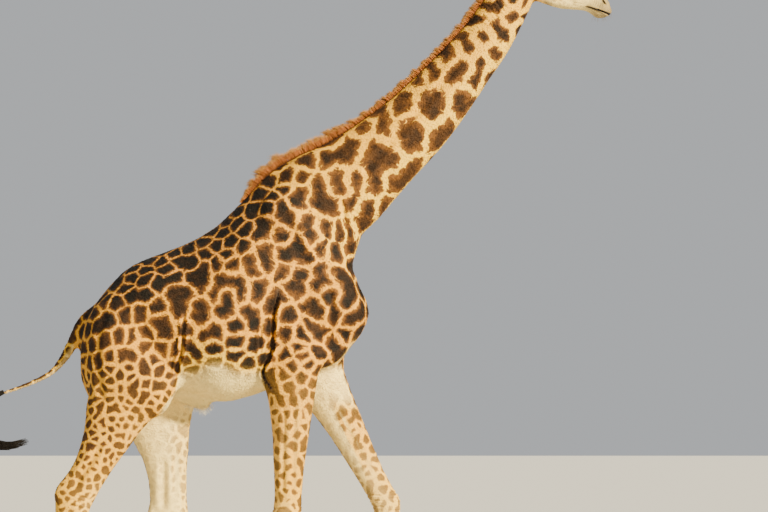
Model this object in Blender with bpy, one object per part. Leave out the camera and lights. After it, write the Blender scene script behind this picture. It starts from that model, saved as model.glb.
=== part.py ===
"""A Masai giraffe bull at life size, walking, as solids: trunk, neck, head and four legs that meet
face to face, with eyes, ears, ossicones, mane, tail brush and eight claws of their own.

+X is forward, +Y is the animal's left and +Z is up. The floor is Z = 0, and the origin lies on it
under the middle of the animal's length. All sizes are metres. The flesh is modelled whole, as
tapered tubes and rounded masses that grow into each other, and is then parted with thin cuts.
"""

import math

import bmesh
import bpy
from mathutils import Matrix, Vector

# ---------------------------------------------------------------- driving dimensions

GAP = 0.0004  # between two solids that meet
SEAT_GAP = 0.0008  # round a piece sunk in another, measured at its sharpest edge
VOXEL = 0.012  # grain at which the masses grow together
FLESH_TRIANGLES = 4480
HEAD_SHARE, FOOT_SHARE = 0.9, 0.1  # how far these are spared when the flesh is thinned out
SPARING = 0.02  # the weight of that against the shape's own curves
SMOOTH_ANGLE = math.radians(40)  # edges flatter than this are shaded smooth

HEAD_LENGTH = 0.668  # poll to upper lip
HEAD_PITCH = math.radians(24)  # the face points this far below level
POLL = Vector((1.154, 0.0, 4.137))
# Where the head parts from the neck and the neck from the trunk (x, z), upper side then lower.
HEAD_CUT = ((1.130, 4.105), (1.357, 3.901))
NECK_CUT = ((-0.170, 2.929), (0.352, 2.313))

EYE_RADIUS = 0.0245
EAR_LENGTH = 0.205
OSSICONE_LENGTH = 0.195
MANE_HALF_THICKNESS = 0.020
MANE_SINK = 0.022  # how deep the mane's root sits in the neck

HOOF_HEIGHT = 0.125
HOOF_HEEL, HOOF_TOE = -0.100, 0.156  # how far the sole reaches behind and ahead of the leg
HOOF_WIDTH = 0.178
HOOF_SLOPE = math.radians(20)  # the hoof's top falls back to the heel by this
CLEFT = 0.012  # between the two claws of a foot
TOE_FLAT = 0.010  # how much a toe that is stood on end is cut off flat by the floor

RING_SIDES = 28

# The trunk from rump to breast: x, top, bottom, half width, level of the widest place as a share
# of the height, and how pinched the ridge of the back is (1 is round).
TRUNK = (
    (-1.165, 2.090, 1.820, 0.090, 0.50, 1.0),
    (-1.095, 2.225, 1.680, 0.190, 0.52, 1.0),
    (-0.960, 2.392, 1.640, 0.250, 0.56, 1.1),
    (-0.850, 2.470, 1.660, 0.278, 0.54, 1.2),
    (-0.700, 2.528, 1.735, 0.300, 0.50, 1.3),
    (-0.550, 2.590, 1.745, 0.326, 0.45, 1.35),
    (-0.400, 2.687, 1.694, 0.345, 0.42, 1.4),
    (-0.250, 2.842, 1.722, 0.330, 0.41, 1.6),
    (-0.100, 2.965, 1.775, 0.285, 0.40, 1.7),
    (0.050, 2.960, 1.840, 0.250, 0.40, 1.6),
    (0.180, 2.780, 1.895, 0.222, 0.42, 1.3),
    (0.280, 2.560, 1.960, 0.185, 0.45, 1.1),
    (0.360, 2.350, 2.045, 0.125, 0.45, 1.0),
    (0.402, 2.270, 2.115, 0.065, 0.50, 1.0),
    (0.420, 2.215, 2.160, 0.030, 0.50, 1.0),
)

# A tube's stations: x, y, z of the centre, half depth fore and aft, half width.
NECK = (
    (0.040, 0, 2.600, 0.325, 0.190),
    (0.150, 0, 2.790, 0.296, 0.165),
    (0.291, 0, 2.887, 0.266, 0.146),
    (0.467, 0, 3.038, 0.226, 0.130),
    (0.685, 0, 3.235, 0.197, 0.118),
    (0.843, 0, 3.416, 0.175, 0.109),
    (0.956, 0, 3.556, 0.157, 0.101),
    (1.057, 0, 3.681, 0.145, 0.095),
    (1.129, 0, 3.797, 0.135, 0.091),
    (1.198, 0, 3.915, 0.124, 0.087),
    (1.247, 0, 4.016, 0.112, 0.080),
)

# The tail's root belongs to the trunk; the tail itself goes on from there.
TAIL_ROOT = (
    (-1.060, 0, 2.190, 0.060, 0.050),
    (-1.130, 0, 2.140, 0.060, 0.046),
    (-1.180, 0, 2.076, 0.049, 0.041),
    (-1.220, 0, 2.004, 0.037, 0.033),
    (-1.250, 0, 1.950, 0.030, 0.027),
)
TAIL = (
    (-1.220, 0, 2.004, 0.036, 0.032),
    (-1.250, 0, 1.950, 0.030, 0.027),
    (-1.318, 0, 1.866, 0.021, 0.021),
    (-1.412, 0, 1.813, 0.018, 0.018),
    (-1.522, 0, 1.770, 0.0155, 0.0155),
    (-1.612, 0, 1.742, 0.0135, 0.0135),
)
TAIL_BRUSH = (
    (-1.6134, 0, 1.7416, 0.013, 0.013),
    (-1.636, 0, 1.7345, 0.018, 0.017),
    (-1.680, 0, 1.704, 0.031, 0.027),
    (-1.722, 0, 1.630, 0.042, 0.034),
    (-1.722, 0, 1.545, 0.044, 0.034),
    (-1.662, 0, 1.478, 0.038, 0.032),
    (-1.565, 0, 1.458, 0.028, 0.026),
    (-1.440, 0, 1.486, 0.005, 0.005),
)

SHEATH = (
    (-0.720, 0, 1.800, 0.065, 0.052),
    (-0.630, 0, 1.738, 0.046, 0.038),
    (-0.550, 0, 1.698, 0.036, 0.032),
    (-0.490, 0, 1.676, 0.036, 0.032),
    (-0.450, 0, 1.660, 0.026, 0.024),
)

# Each leg: which side it is on (-1 is right), where its joints lie (x, z), how far ahead the foot
# stands, the pitch of the foot (0 is flat, more is up on the toe), and from where to where along
# the animal the cut runs that parts it from the trunk.
FORE_SIDE, HIND_SIDE = 0.165, 0.175
LEGS = {
    "fore_r": {
        "side": -1,
        "top": (0.060, 2.120),
        "elbow": (-0.015, 1.850),
        "knee": (-0.028, 1.062),
        "fetlock": (-0.052, 0.300),
        "foot": 0.004,
        "pitch": 0.0,
        "reach": (-0.250, 0.350),
    },
    "fore_l": {
        "side": 1,
        "top": (0.110, 2.120),
        "elbow": (0.122, 1.840),
        "knee": (0.516, 1.132),
        "fetlock": (0.486, 0.352),
        "foot": 0.454,
        "pitch": math.radians(30),
        "reach": (-0.120, 0.800),
    },
    "hind_r": {
        "side": -1,
        "top": (-0.900, 2.110),
        "elbow": (-0.800, 1.755),
        "knee": (-1.190, 1.145),
        "fetlock": (-1.232, 0.372),
        "foot": -1.268,
        "pitch": math.radians(32),
        "reach": (-1.600, -0.600),
    },
    "hind_l": {
        "side": 1,
        "top": (-0.900, 2.110),
        "elbow": (-0.665, 1.745),
        "knee": (-0.668, 1.045),
        "fetlock": (-0.700, 0.300),
        "foot": -0.646,
        "pitch": 0.0,
        "reach": (-1.600, -0.480),
    },
}
# Across the animal: y (to the leg's side) and z of the cut between a leg and the trunk.
FORE_CUT = ((0.050, -0.1), (0.050, 1.72), (0.400, 2.05), (0.700, 2.05), (0.700, -0.1))
HIND_CUT = ((0.045, -0.1), (0.045, 1.70), (0.350, 2.15), (0.700, 2.50), (0.700, -0.1))

# Sizes along a leg: between which two joints, how far along, how far the middle lies ahead of
# the bone's line, half depth, half width, and the share of the side offset at the top.
FORE_SIZES = (
    ("top", "elbow", 0.30, 0.000, 0.200, 0.085),
    ("top", "elbow", 0.80, -0.010, 0.172, 0.094),
    ("elbow", "knee", 0.10, 0.008, 0.146, 0.094),
    ("elbow", "knee", 0.22, 0.010, 0.128, 0.084),
    ("elbow", "knee", 0.42, 0.010, 0.108, 0.074),
    ("elbow", "knee", 0.65, 0.004, 0.091, 0.065),
    ("elbow", "knee", 0.87, 0.002, 0.079, 0.061),
    ("elbow", "knee", 1.00, 0.000, 0.080, 0.066),
    ("knee", "fetlock", 0.10, 0.000, 0.068, 0.058),
    ("knee", "fetlock", 0.22, 0.000, 0.050, 0.044),
    ("knee", "fetlock", 0.50, 0.000, 0.044, 0.038),
    ("knee", "fetlock", 0.84, 0.000, 0.046, 0.042),
    ("knee", "fetlock", 1.00, -0.006, 0.060, 0.055),
    ("fetlock", "coronet", 0.45, 0.000, 0.051, 0.053),
    ("fetlock", "coronet", 0.90, 0.000, 0.064, 0.068),
    ("fetlock", "coronet", 1.12, 0.004, 0.066, 0.070),
)
HIND_SIZES = (
    ("top", "elbow", 0.05, 0.000, 0.200, 0.100),
    ("top", "elbow", 0.50, -0.030, 0.235, 0.124),
    ("top", "elbow", 0.85, -0.060, 0.245, 0.122),
    ("elbow", "knee", 0.08, -0.085, 0.215, 0.112),
    ("elbow", "knee", 0.26, -0.073, 0.182, 0.096),
    ("elbow", "knee", 0.44, -0.046, 0.144, 0.080),
    ("elbow", "knee", 0.62, -0.030, 0.118, 0.068),
    ("elbow", "knee", 0.82, -0.014, 0.099, 0.058),
    ("elbow", "knee", 1.00, -0.008, 0.102, 0.060),
    ("knee", "fetlock", 0.07, -0.012, 0.096, 0.056),
    ("knee", "fetlock", 0.15, -0.008, 0.074, 0.050),
    ("knee", "fetlock", 0.27, 0.000, 0.055, 0.044),
    ("knee", "fetlock", 0.52, 0.000, 0.045, 0.038),
    ("knee", "fetlock", 0.84, 0.000, 0.046, 0.042),
    ("knee", "fetlock", 1.00, -0.006, 0.060, 0.054),
    ("fetlock", "coronet", 0.45, 0.000, 0.050, 0.052),
    ("fetlock", "coronet", 0.90, 0.000, 0.062, 0.066),
    ("fetlock", "coronet", 1.12, 0.004, 0.064, 0.068),
)

# The head in its own frame: s runs from poll to lips, h is above the line between them.
# Stations: s, top h, bottom h, half width.
SKULL = (
    (0.000, -0.034, -0.100, 0.048),
    (0.026, 0.012, -0.150, 0.076),
    (0.060, 0.042, -0.165, 0.086),
    (0.120, 0.068, -0.168, 0.090),
    (0.190, 0.082, -0.158, 0.090),
    (0.260, 0.080, -0.142, 0.082),
    (0.330, 0.068, -0.134, 0.068),
    (0.400, 0.057, -0.124, 0.057),
    (0.470, 0.049, -0.100, 0.052),
    (0.530, 0.043, -0.080, 0.052),
    (0.580, 0.036, -0.082, 0.056),
    (0.620, 0.020, -0.079, 0.053),
    (0.650, -0.002, -0.064, 0.041),
    (0.668, -0.022, -0.045, 0.018),
)

# The mane: x and z of the skin it grows from, and its height.
MANE = (
    (-0.286, 2.792, 0.014),
    (-0.236, 2.850, 0.036),
    (-0.165, 2.928, 0.064),
    (-0.082, 2.996, 0.076),
    (0.030, 3.053, 0.072),
    (0.145, 3.103, 0.076),
    (0.235, 3.153, 0.070),
    (0.313, 3.203, 0.050),
    (0.420, 3.278, 0.042),
    (0.545, 3.374, 0.042),
    (0.708, 3.525, 0.040),
    (0.832, 3.650, 0.038),
    (0.938, 3.764, 0.042),
    (1.014, 3.866, 0.042),
    (1.080, 3.960, 0.038),
    (1.122, 4.030, 0.030),
    (1.138, 4.056, 0.008),
)

# A slice across the mane: shares of its height (or of its root's depth) and of its half thickness.
MANE_SECTION = (
    (-1, 0.5), (-1, -0.5), (0, -1), (0.5, -0.9), (0.9, -0.5), (1, 0), (0.9, 0.5), (0.5, 0.9), (0, 1),
)  # fmt: skip

# An ear's stations: share of its length, half width, depth of the hollow and thickness of the wall.
EAR = (
    (-0.14, 0.020, 0.012, 0.030),
    (0.06, 0.026, 0.018, 0.026),
    (0.20, 0.036, 0.026, 0.015),
    (0.40, 0.043, 0.026, 0.009),
    (0.60, 0.041, 0.021, 0.008),
    (0.78, 0.032, 0.014, 0.007),
    (0.92, 0.018, 0.007, 0.006),
    (1.00, 0.006, 0.002, 0.004),
)

# An ossicone's stations: height as a share of its length, and radius.
OSSICONE = (
    (-0.18, 0.030),
    (0.00, 0.028),
    (0.25, 0.0225),
    (0.55, 0.0195),
    (0.80, 0.0215),
    (0.92, 0.0200),
    (0.98, 0.0130),
    (1.00, 0.0050),
)

FUR = {"colour": (0.62, 0.41, 0.22), "roughness": 0.85}
HAIR = {"colour": (0.28, 0.13, 0.06), "roughness": 0.9}
DARK_HAIR = {"colour": (0.02, 0.016, 0.014), "roughness": 0.7}
HORN = {"colour": (0.09, 0.075, 0.06), "roughness": 0.55}
EYE = {"colour": (0.02, 0.012, 0.008), "roughness": 0.08}


# ---------------------------------------------------------------- small tools


def clear_scene():
    for thing in list(bpy.data.objects):
        bpy.data.objects.remove(thing)


def make_material(name, finish):
    made = bpy.data.materials.new(name)
    made.use_nodes = True
    shader = made.node_tree.nodes["Principled BSDF"]
    shader.inputs["Base Color"].default_value = (*finish["colour"], 1.0)
    shader.inputs["Roughness"].default_value = finish["roughness"]
    shader.inputs["Metallic"].default_value = 0.0
    made.diffuse_color = (*finish["colour"], 1.0)
    return made


def object_from(bm, name, keep=True):
    """A mesh object made from bm. One that isn't kept is a helper, which no build reads."""
    bmesh.ops.triangulate(bm, faces=bm.faces)
    bmesh.ops.recalc_face_normals(bm, faces=bm.faces)
    mesh = bpy.data.meshes.new(name)
    bm.to_mesh(mesh)
    bm.free()
    made = bpy.data.objects.new(name, mesh)
    bpy.context.scene.collection.objects.link(made)
    if not keep:
        made.hide_render = True
        made.display_type = "WIRE"
    return made


def with_modifier(thing, kind, **settings):
    """Applies one modifier to an object's mesh."""
    modifier = thing.modifiers.new(kind.title(), kind)
    for key, value in settings.items():
        setattr(modifier, key, value)
    bpy.context.view_layer.update()
    graph = bpy.context.evaluated_depsgraph_get()
    mesh = bpy.data.meshes.new_from_object(thing.evaluated_get(graph), depsgraph=graph)
    thing.modifiers.remove(modifier)
    old = thing.data
    thing.data = mesh
    bpy.data.meshes.remove(old)
    return thing


def copy_of(thing, name):
    made = thing.copy()
    made.data = thing.data.copy()
    made.name = name
    bpy.context.scene.collection.objects.link(made)
    return made


def grown(thing, by):
    """A helper copy of a solid, a little larger all round."""
    helper = copy_of(thing, thing.name + "_grown")
    helper.hide_render = True
    helper.display_type = "WIRE"
    return with_modifier(helper, "DISPLACE", strength=by, mid_level=0.0)


def boolean(thing, other, operation):
    return with_modifier(
        thing, "BOOLEAN", object=other, operation=operation, solver="EXACT"
    )


def power(value, exponent):
    return math.copysign(abs(value) ** exponent, value)


def smooth_rows(rows, steps):
    """Rows of numbers with further rows between them, on a curve through all of them."""
    rows = [[float(value) for value in row] for row in rows]
    padded = [rows[0], *rows, rows[-1]]
    made = []
    for i in range(len(rows) - 1):
        before, start, end, after = padded[i : i + 4]
        for step in range(steps):
            t = step / steps
            made.append(
                [
                    0.5
                    * (
                        2 * b
                        + (c - a) * t
                        + (2 * a - 5 * b + 4 * c - d) * t * t
                        + (3 * b - a - 3 * c + d) * t**3
                    )
                    for a, b, c, d in zip(before, start, end, after)
                ]
            )
    return [*made, rows[-1]]


def skin_rings(bm, rings):
    """Closes a row of rings, each with as many points, into one solid."""
    loops = [[bm.verts.new(point) for point in ring] for ring in rings]
    count = len(loops[0])
    for first, second in zip(loops, loops[1:]):
        for i in range(count):
            j = (i + 1) % count
            bm.faces.new((first[i], first[j], second[j], second[i]))
    bm.faces.new(loops[0])
    bm.faces.new(loops[-1][::-1])


def round_ring(centre, up, side, up_size, down_size, side_size, sides=RING_SIDES):
    """An egg-shaped ring: its half sizes above, below and to the side of its centre."""
    points = []
    for k in range(sides):
        turn = 2 * math.pi * k / sides
        rise = math.cos(turn)
        reach = up_size if rise > 0 else down_size
        points.append(centre + up * (reach * rise) + side * (side_size * math.sin(turn)))
    return points


def add_tube(bm, stations, steps=3, sides=RING_SIDES):
    """A tube through stations of x, y, z, half depth and half width, rounded at both ends."""
    rows = smooth_rows(stations, steps)
    centres = [Vector(row[:3]) for row in rows]
    side = Vector((0, 1, 0))
    rings = []
    for i, row in enumerate(rows):
        ahead = centres[min(i + 1, len(rows) - 1)] - centres[max(i - 1, 0)]
        up = side.cross(ahead).normalized()
        rings.append(round_ring(centres[i], up, side, row[3], row[3], row[4], sides))
    skin_rings(bm, rings)


def add_mass(bm, centre, sizes, pitch=0.0, roll=0.0):
    """An ellipsoid with half sizes along, across and up, tipped by pitch about Y and roll about X."""
    turn = Matrix.Rotation(roll, 4, "X") @ Matrix.Rotation(pitch, 4, "Y")
    place = Matrix.Translation(centre) @ turn @ Matrix.Diagonal((*sizes, 1.0))
    bmesh.ops.create_icosphere(bm, subdivisions=3, radius=1.0, matrix=place)


def prism(outline, axis, start, end):
    """A helper solid: an outline in the plane across an axis (0 is X, 1 is Y), drawn out along it."""
    bm = bmesh.new()
    corners = []
    for a, b in outline:
        corners.append(bm.verts.new((start, a, b) if axis == 0 else (a, start, b)))
    face = bm.faces.new(corners)
    drawn = bmesh.ops.extrude_face_region(bm, geom=[face])
    moved = [item for item in drawn["geom"] if isinstance(item, bmesh.types.BMVert)]
    travel = Vector((end - start, 0, 0)) if axis == 0 else Vector((0, end - start, 0))
    bmesh.ops.translate(bm, vec=travel, verts=moved)
    return object_from(bm, "cutter", keep=False)


def part_off(whole, cutter, name):
    """Takes what lies in the cutter off the whole, as a new solid, and leaves a thin gap."""
    piece = boolean(copy_of(whole, name), cutter, "INTERSECT")
    boolean(whole, grown(cutter, GAP), "DIFFERENCE")
    return piece


# ---------------------------------------------------------------- the flesh


def head_point(s, h, y=0.0):
    """A point of the head's own frame, in the animal's frame."""
    along = Vector((math.cos(HEAD_PITCH), 0, -math.sin(HEAD_PITCH)))
    above = Vector((math.sin(HEAD_PITCH), 0, math.cos(HEAD_PITCH)))
    return POLL + along * s + above * h + Vector((0, y, 0))


def head_direction(s, h, y=0.0):
    return (head_point(s, h, y) - head_point(0, 0)).normalized()


def add_trunk(bm):
    rings = []
    for x, top, bottom, width, widest, pinch in smooth_rows(TRUNK, 3):
        middle = bottom + (top - bottom) * widest
        ring = []
        for k in range(RING_SIDES):
            turn = 2 * math.pi * k / RING_SIDES
            rise, out = math.cos(turn), math.sin(turn)
            if rise > 0:
                y = width * power(out, pinch)
                z = middle + (top - middle) * rise
            else:
                y = width * power(out, 0.9)
                z = middle + (middle - bottom) * rise
            ring.append(Vector((x, y, z)))
        rings.append(ring)
    skin_rings(bm, rings)


def add_trunk_masses(bm):
    """The muscles and bones that show under the coat, the same on both sides."""
    for side in (-1, 1):
        # shoulder blade, and the muscle that fills it out down to the point of the shoulder
        add_mass(bm, (0.010, 0.150 * side, 2.520), (0.190, 0.085, 0.360), -0.30)
        add_mass(bm, (0.130, 0.130 * side, 2.270), (0.230, 0.105, 0.230), 0.3)
        add_mass(bm, (0.290, 0.090 * side, 2.190), (0.110, 0.090, 0.140), 0.2)
        # triceps, from the blade to the elbow
        add_mass(bm, (-0.020, 0.170 * side, 2.060), (0.190, 0.085, 0.270), 0.15)
        # breast between the forelegs
        add_mass(bm, (0.170, 0.070 * side, 1.995), (0.160, 0.085, 0.115), -0.45)
        # hip bone, croup and the thigh's muscle below them
        add_mass(bm, (-0.770, 0.150 * side, 2.320), (0.150, 0.085, 0.080), -0.35)
        add_mass(bm, (-0.930, 0.105 * side, 2.190), (0.220, 0.125, 0.130), -0.55)
        add_mass(bm, (-0.900, 0.165 * side, 2.050), (0.220, 0.112, 0.200), -0.3)
        # pin bone, beside the tail, and the muscle that falls from it
        add_mass(bm, (-1.075, 0.095 * side, 1.980), (0.092, 0.085, 0.230), 0.05)
    # crest of the withers, which carries the neck's ligament
    add_mass(bm, (-0.080, 0.0, 2.860), (0.200, 0.052, 0.125), -0.68)


def foot_frame(name):
    """The middle of a foot's sole, and the foot's own ahead and up. Its toe reaches the floor."""
    leg = LEGS[name]
    pitch = leg["pitch"]
    ahead = Vector((math.cos(pitch), 0, -math.sin(pitch)))
    above = Vector((math.sin(pitch), 0, math.cos(pitch)))
    lift = max(0.0, HOOF_TOE * math.sin(pitch) - TOE_FLAT)
    spread = FORE_SIDE if name.startswith("fore") else HIND_SIDE
    return Vector((leg["foot"], spread * leg["side"], lift)), ahead, above


def leg_rows(name):
    """The stations of a leg's tube, from its joints and its sizes."""
    leg = LEGS[name]
    fore = name.startswith("fore")
    sole, _, above = foot_frame(name)
    coronet = sole + above * HOOF_HEIGHT
    joints = {key: Vector(leg[key]) for key in ("top", "elbow", "knee", "fetlock")}
    joints["coronet"] = Vector((coronet.x, coronet.z))
    rows = []
    for first, second, share, ahead, depth, width in FORE_SIZES if fore else HIND_SIZES:
        start, end = joints[first], joints[second]
        run = (end - start).normalized()
        middle = start.lerp(end, share) + Vector((-run.y, run.x)) * ahead
        rows.append((middle.x, sole.y, middle.y, depth, width))
    return rows


def add_fore_leg(bm, name):
    leg = LEGS[name]
    y = FORE_SIDE * leg["side"]
    knee, fetlock = Vector(leg["knee"]), Vector(leg["fetlock"])
    lean = math.atan2(knee.x - fetlock.x, knee.y - fetlock.y)
    elbow = Vector(leg["elbow"])
    add_tube(bm, leg_rows(name))
    # muscle over the elbow, its point, the knee's front and the pea-shaped bone behind it
    add_mass(bm, (elbow.x + 0.075, y, elbow.y + 0.070), (0.088, 0.065, 0.140), 0.0)
    add_mass(bm, (elbow.x - 0.118, y, elbow.y + 0.012), (0.050, 0.040, 0.075), 0.3)
    add_mass(bm, (knee.x + 0.022, y, knee.y), (0.060, 0.060, 0.085), lean)
    add_mass(bm, (knee.x - 0.060, y, knee.y + 0.020), (0.028, 0.032, 0.055), lean)
    # tendons behind the cannon, and the two bumps of the fetlock
    add_mass(bm, (fetlock.x - 0.034, y, fetlock.y + 0.004), (0.032, 0.046, 0.044), lean)


def add_hind_leg(bm, name):
    leg = LEGS[name]
    y = HIND_SIDE * leg["side"]
    stifle, hock, fetlock = (Vector(leg[key]) for key in ("elbow", "knee", "fetlock"))
    shin = (hock - stifle).normalized()
    back = Vector((shin.y, -shin.x))
    add_tube(bm, leg_rows(name))
    # the thigh's mass behind, the kneecap in front, and the heel bone with its tendon
    add_mass(bm, (stifle.x - 0.150, y, stifle.y + 0.220), (0.165, 0.118, 0.290), 0.12)
    add_mass(bm, (stifle.x + 0.095, y, stifle.y + 0.030), (0.085, 0.078, 0.120), 0.35)
    heel = hock + back * 0.104 - shin * 0.036
    add_mass(bm, (heel.x, y, heel.y), (0.036, 0.034, 0.085), math.atan2(-shin.x, -shin.y))
    cord = hock.lerp(stifle, 0.24) + back * 0.112
    add_mass(bm, (cord.x, y, cord.y), (0.024, 0.020, 0.160), math.atan2(-shin.x, -shin.y))
    lean = math.atan2(hock.x - fetlock.x, hock.y - fetlock.y)
    add_mass(bm, (fetlock.x - 0.034, y, fetlock.y + 0.004), (0.032, 0.045, 0.044), lean)


def add_head(bm):
    rings = []
    along = head_direction(1, 0)
    side = Vector((0, 1, 0))
    up = side.cross(along) * -1
    for s, top, bottom, width in smooth_rows(SKULL, 3):
        middle = (top + bottom) / 2 + 0.12 * (top - bottom)
        rings.append(
            round_ring(head_point(s, middle), up, side, top - middle, middle - bottom, width)
        )
    skin_rings(bm, rings)
    for sign in (-1, 1):
        # cheek, brow and the swelling in front of the eye
        add_mass(bm, head_point(0.170, -0.075, 0.052 * sign), (0.100, 0.044, 0.066), HEAD_PITCH)
        add_mass(bm, head_point(0.226, 0.046, 0.066 * sign), (0.054, 0.036, 0.030), HEAD_PITCH)
        add_mass(bm, head_point(0.232, 0.014, 0.066 * sign), (0.046, 0.032, 0.036), HEAD_PITCH)
        # root of the ossicone, root of the ear
        add_mass(bm, head_point(0.128, 0.056, 0.044 * sign), (0.046, 0.036, 0.034), HEAD_PITCH)
        add_mass(bm, head_point(0.050, 0.000, 0.070 * sign), (0.040, 0.030, 0.034), HEAD_PITCH)
        # nostril and upper lip
        add_mass(bm, head_point(0.604, 0.000, 0.029 * sign), (0.040, 0.028, 0.030), HEAD_PITCH)
        add_mass(bm, head_point(0.628, -0.026, 0.020 * sign), (0.034, 0.028, 0.030), HEAD_PITCH)
    # the bump on the forehead, and the lower lip
    add_mass(bm, head_point(0.262, 0.080), (0.066, 0.030, 0.030), HEAD_PITCH + 0.12)
    add_mass(bm, head_point(0.600, -0.066), (0.046, 0.036, 0.020), HEAD_PITCH)


def is_head(point):
    """How much a point belongs to the head, from 0 to 1."""
    nape, throat = (Vector((x, 0, z)) for x, z in HEAD_CUT)
    away = Vector((0, 1, 0)).cross(nape - throat).normalized()
    return min(1.0, max(0.0, (away.dot(point - nape) + 0.06) / 0.08))


def is_foot(point):
    return min(1.0, max(0.0, (1.35 - point.z) / 0.3))


def weigh(thing, name, rule):
    group = thing.vertex_groups.new(name=name)
    for vertex in thing.data.vertices:
        group.add([vertex.index], rule(vertex.co), "REPLACE")
    return name


def make_flesh():
    """All of the soft body as one solid, smoothed where its masses meet."""
    bm = bmesh.new()
    add_trunk(bm)
    add_trunk_masses(bm)
    add_tube(bm, NECK)
    add_tube(bm, TAIL_ROOT, sides=16)
    add_tube(bm, SHEATH, sides=16)
    add_head(bm)
    for name in LEGS:
        if name.startswith("fore"):
            add_fore_leg(bm, name)
        else:
            add_hind_leg(bm, name)
    flesh = object_from(bm, "trunk")
    with_modifier(flesh, "REMESH", mode="VOXEL", voxel_size=VOXEL, adaptivity=0.0)
    body = weigh(flesh, "body", lambda p: 1.0 - max(is_head(p), is_foot(p)))
    with_modifier(flesh, "SMOOTH", factor=0.5, iterations=34, vertex_group=body)
    with_modifier(flesh, "SMOOTH", factor=0.5, iterations=3)
    triangles = sum(len(face.vertices) - 2 for face in flesh.data.polygons)
    flesh.vertex_groups.clear()
    spared = weigh(
        flesh, "spared", lambda p: 1.0 - HEAD_SHARE * is_head(p) - FOOT_SHARE * is_foot(p)
    )
    with_modifier(
        flesh,
        "DECIMATE",
        ratio=FLESH_TRIANGLES / triangles,
        vertex_group=spared,
        vertex_group_factor=SPARING,
    )
    flesh.vertex_groups.clear()
    return flesh


# ---------------------------------------------------------------- parting the flesh


def side_outline(*corners):
    """A cutter drawn right across the animal, from an outline of x and z."""
    return prism(corners, 1, -1.0, 1.0)


def beyond(upper, lower):
    """A cutter for all that lies ahead of a line across the animal, from upper to lower."""
    upper, lower = Vector(upper), Vector(lower)
    reach = (upper - lower).normalized() * 0.4
    high, low = upper + reach, lower - reach
    return side_outline(high, low, (2.6, low.y), (2.6, 5.2), (high.x, 5.2))


def part_flesh(flesh):
    """Parts the head, neck and legs from the flesh. What is left is the trunk."""
    pieces = {"trunk": flesh}
    pieces["head"] = part_off(flesh, beyond(*HEAD_CUT), "head")
    pieces["neck"] = part_off(flesh, beyond(*NECK_CUT), "neck")
    for name, leg in LEGS.items():
        fore = name.startswith("fore")
        outline = [(y * leg["side"], z) for y, z in (FORE_CUT if fore else HIND_CUT)]
        pieces[name] = part_off(flesh, prism(outline, 0, *leg["reach"]), name)
        boolean(pieces[name], below_coronet(name), "DIFFERENCE")
    return pieces


def below_coronet(name):
    """A cutter for all that lies under the top of a foot's claws, and for the gap over them."""
    heel, toe = (hoof_top(name, reach, 0.0) + Vector((0, 0, GAP)) for reach in (-0.5, 0.5))
    return side_outline((heel.x, heel.z), (toe.x, toe.z), (toe.x + 0.5, -2.0), (heel.x - 0.5, -2.0))


# ---------------------------------------------------------------- pieces of their own


def hoof_point(name, u, v, w):
    """A point of a foot's own frame: u ahead of the leg, v across and w above the sole."""
    sole, ahead, above = foot_frame(name)
    return sole + ahead * u + above * w + Vector((0, v, 0))


def hoof_top(name, u, v):
    return hoof_point(name, u, v, HOOF_HEIGHT + math.tan(HOOF_SLOPE) * u)


def claw_outline(heel, toe, inner, outer):
    """A claw seen from above: straight beside the cleft, rounded outside and at the toe."""
    length = toe - heel
    width = outer - inner
    shape = (
        (0.04, 0.10), (0.00, 0.50), (0.07, 0.88), (0.28, 1.00), (0.52, 0.98), (0.74, 0.86),
        (0.90, 0.63), (0.985, 0.34), (1.00, 0.14), (0.96, 0.03), (0.60, 0.00), (0.25, 0.00),
    )  # fmt: skip
    return [(heel + length * along, inner + width * out) for along, out in shape]


def make_claw(name, sign, label):
    """One claw of a foot, on the inner or the outer side of its cleft."""
    bm = bmesh.new()
    inner, outer = CLEFT / 2, HOOF_WIDTH / 2
    rings = []
    for share, heel, toe, out in (
        (0.00, HOOF_HEEL, HOOF_TOE, outer),
        (0.14, HOOF_HEEL - 0.004, HOOF_TOE - 0.004, outer + 0.002),
        (0.60, HOOF_HEEL + 0.010, HOOF_TOE - 0.052, outer - 0.008),
        (1.00, HOOF_HEEL + 0.030, HOOF_TOE - 0.088, outer - 0.018),
    ):
        ring = []
        for u, v in claw_outline(heel, toe, inner, out):
            low = hoof_point(name, u, v * sign, 0.0)
            ring.append(low.lerp(hoof_top(name, u, v * sign), share))
        rings.append(ring)
    skin_rings(bm, rings)
    claw = object_from(bm, label)
    if LEGS[name]["pitch"] > 0:
        floor = side_outline((-3.0, -1.0), (3.0, -1.0), (3.0, 0.0), (-3.0, 0.0))
        boolean(claw, floor, "DIFFERENCE")
    return claw


def make_mane():
    bm = bmesh.new()
    points = [Vector((x, 0, z)) for x, z, _ in MANE]
    side = Vector((0, 1, 0))
    rings = []
    for i, (_, _, height) in enumerate(MANE):
        ahead = points[min(i + 1, len(MANE) - 1)] - points[max(i - 1, 0)]
        up = ahead.cross(side).normalized()
        ring = []
        for rise, wide in MANE_SECTION:
            reach = rise * (MANE_SINK if rise < 0 else height)
            ring.append(points[i] + up * reach + side * (wide * MANE_HALF_THICKNESS))
        rings.append(ring)
    skin_rings(bm, rings)
    return object_from(bm, "mane")


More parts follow.
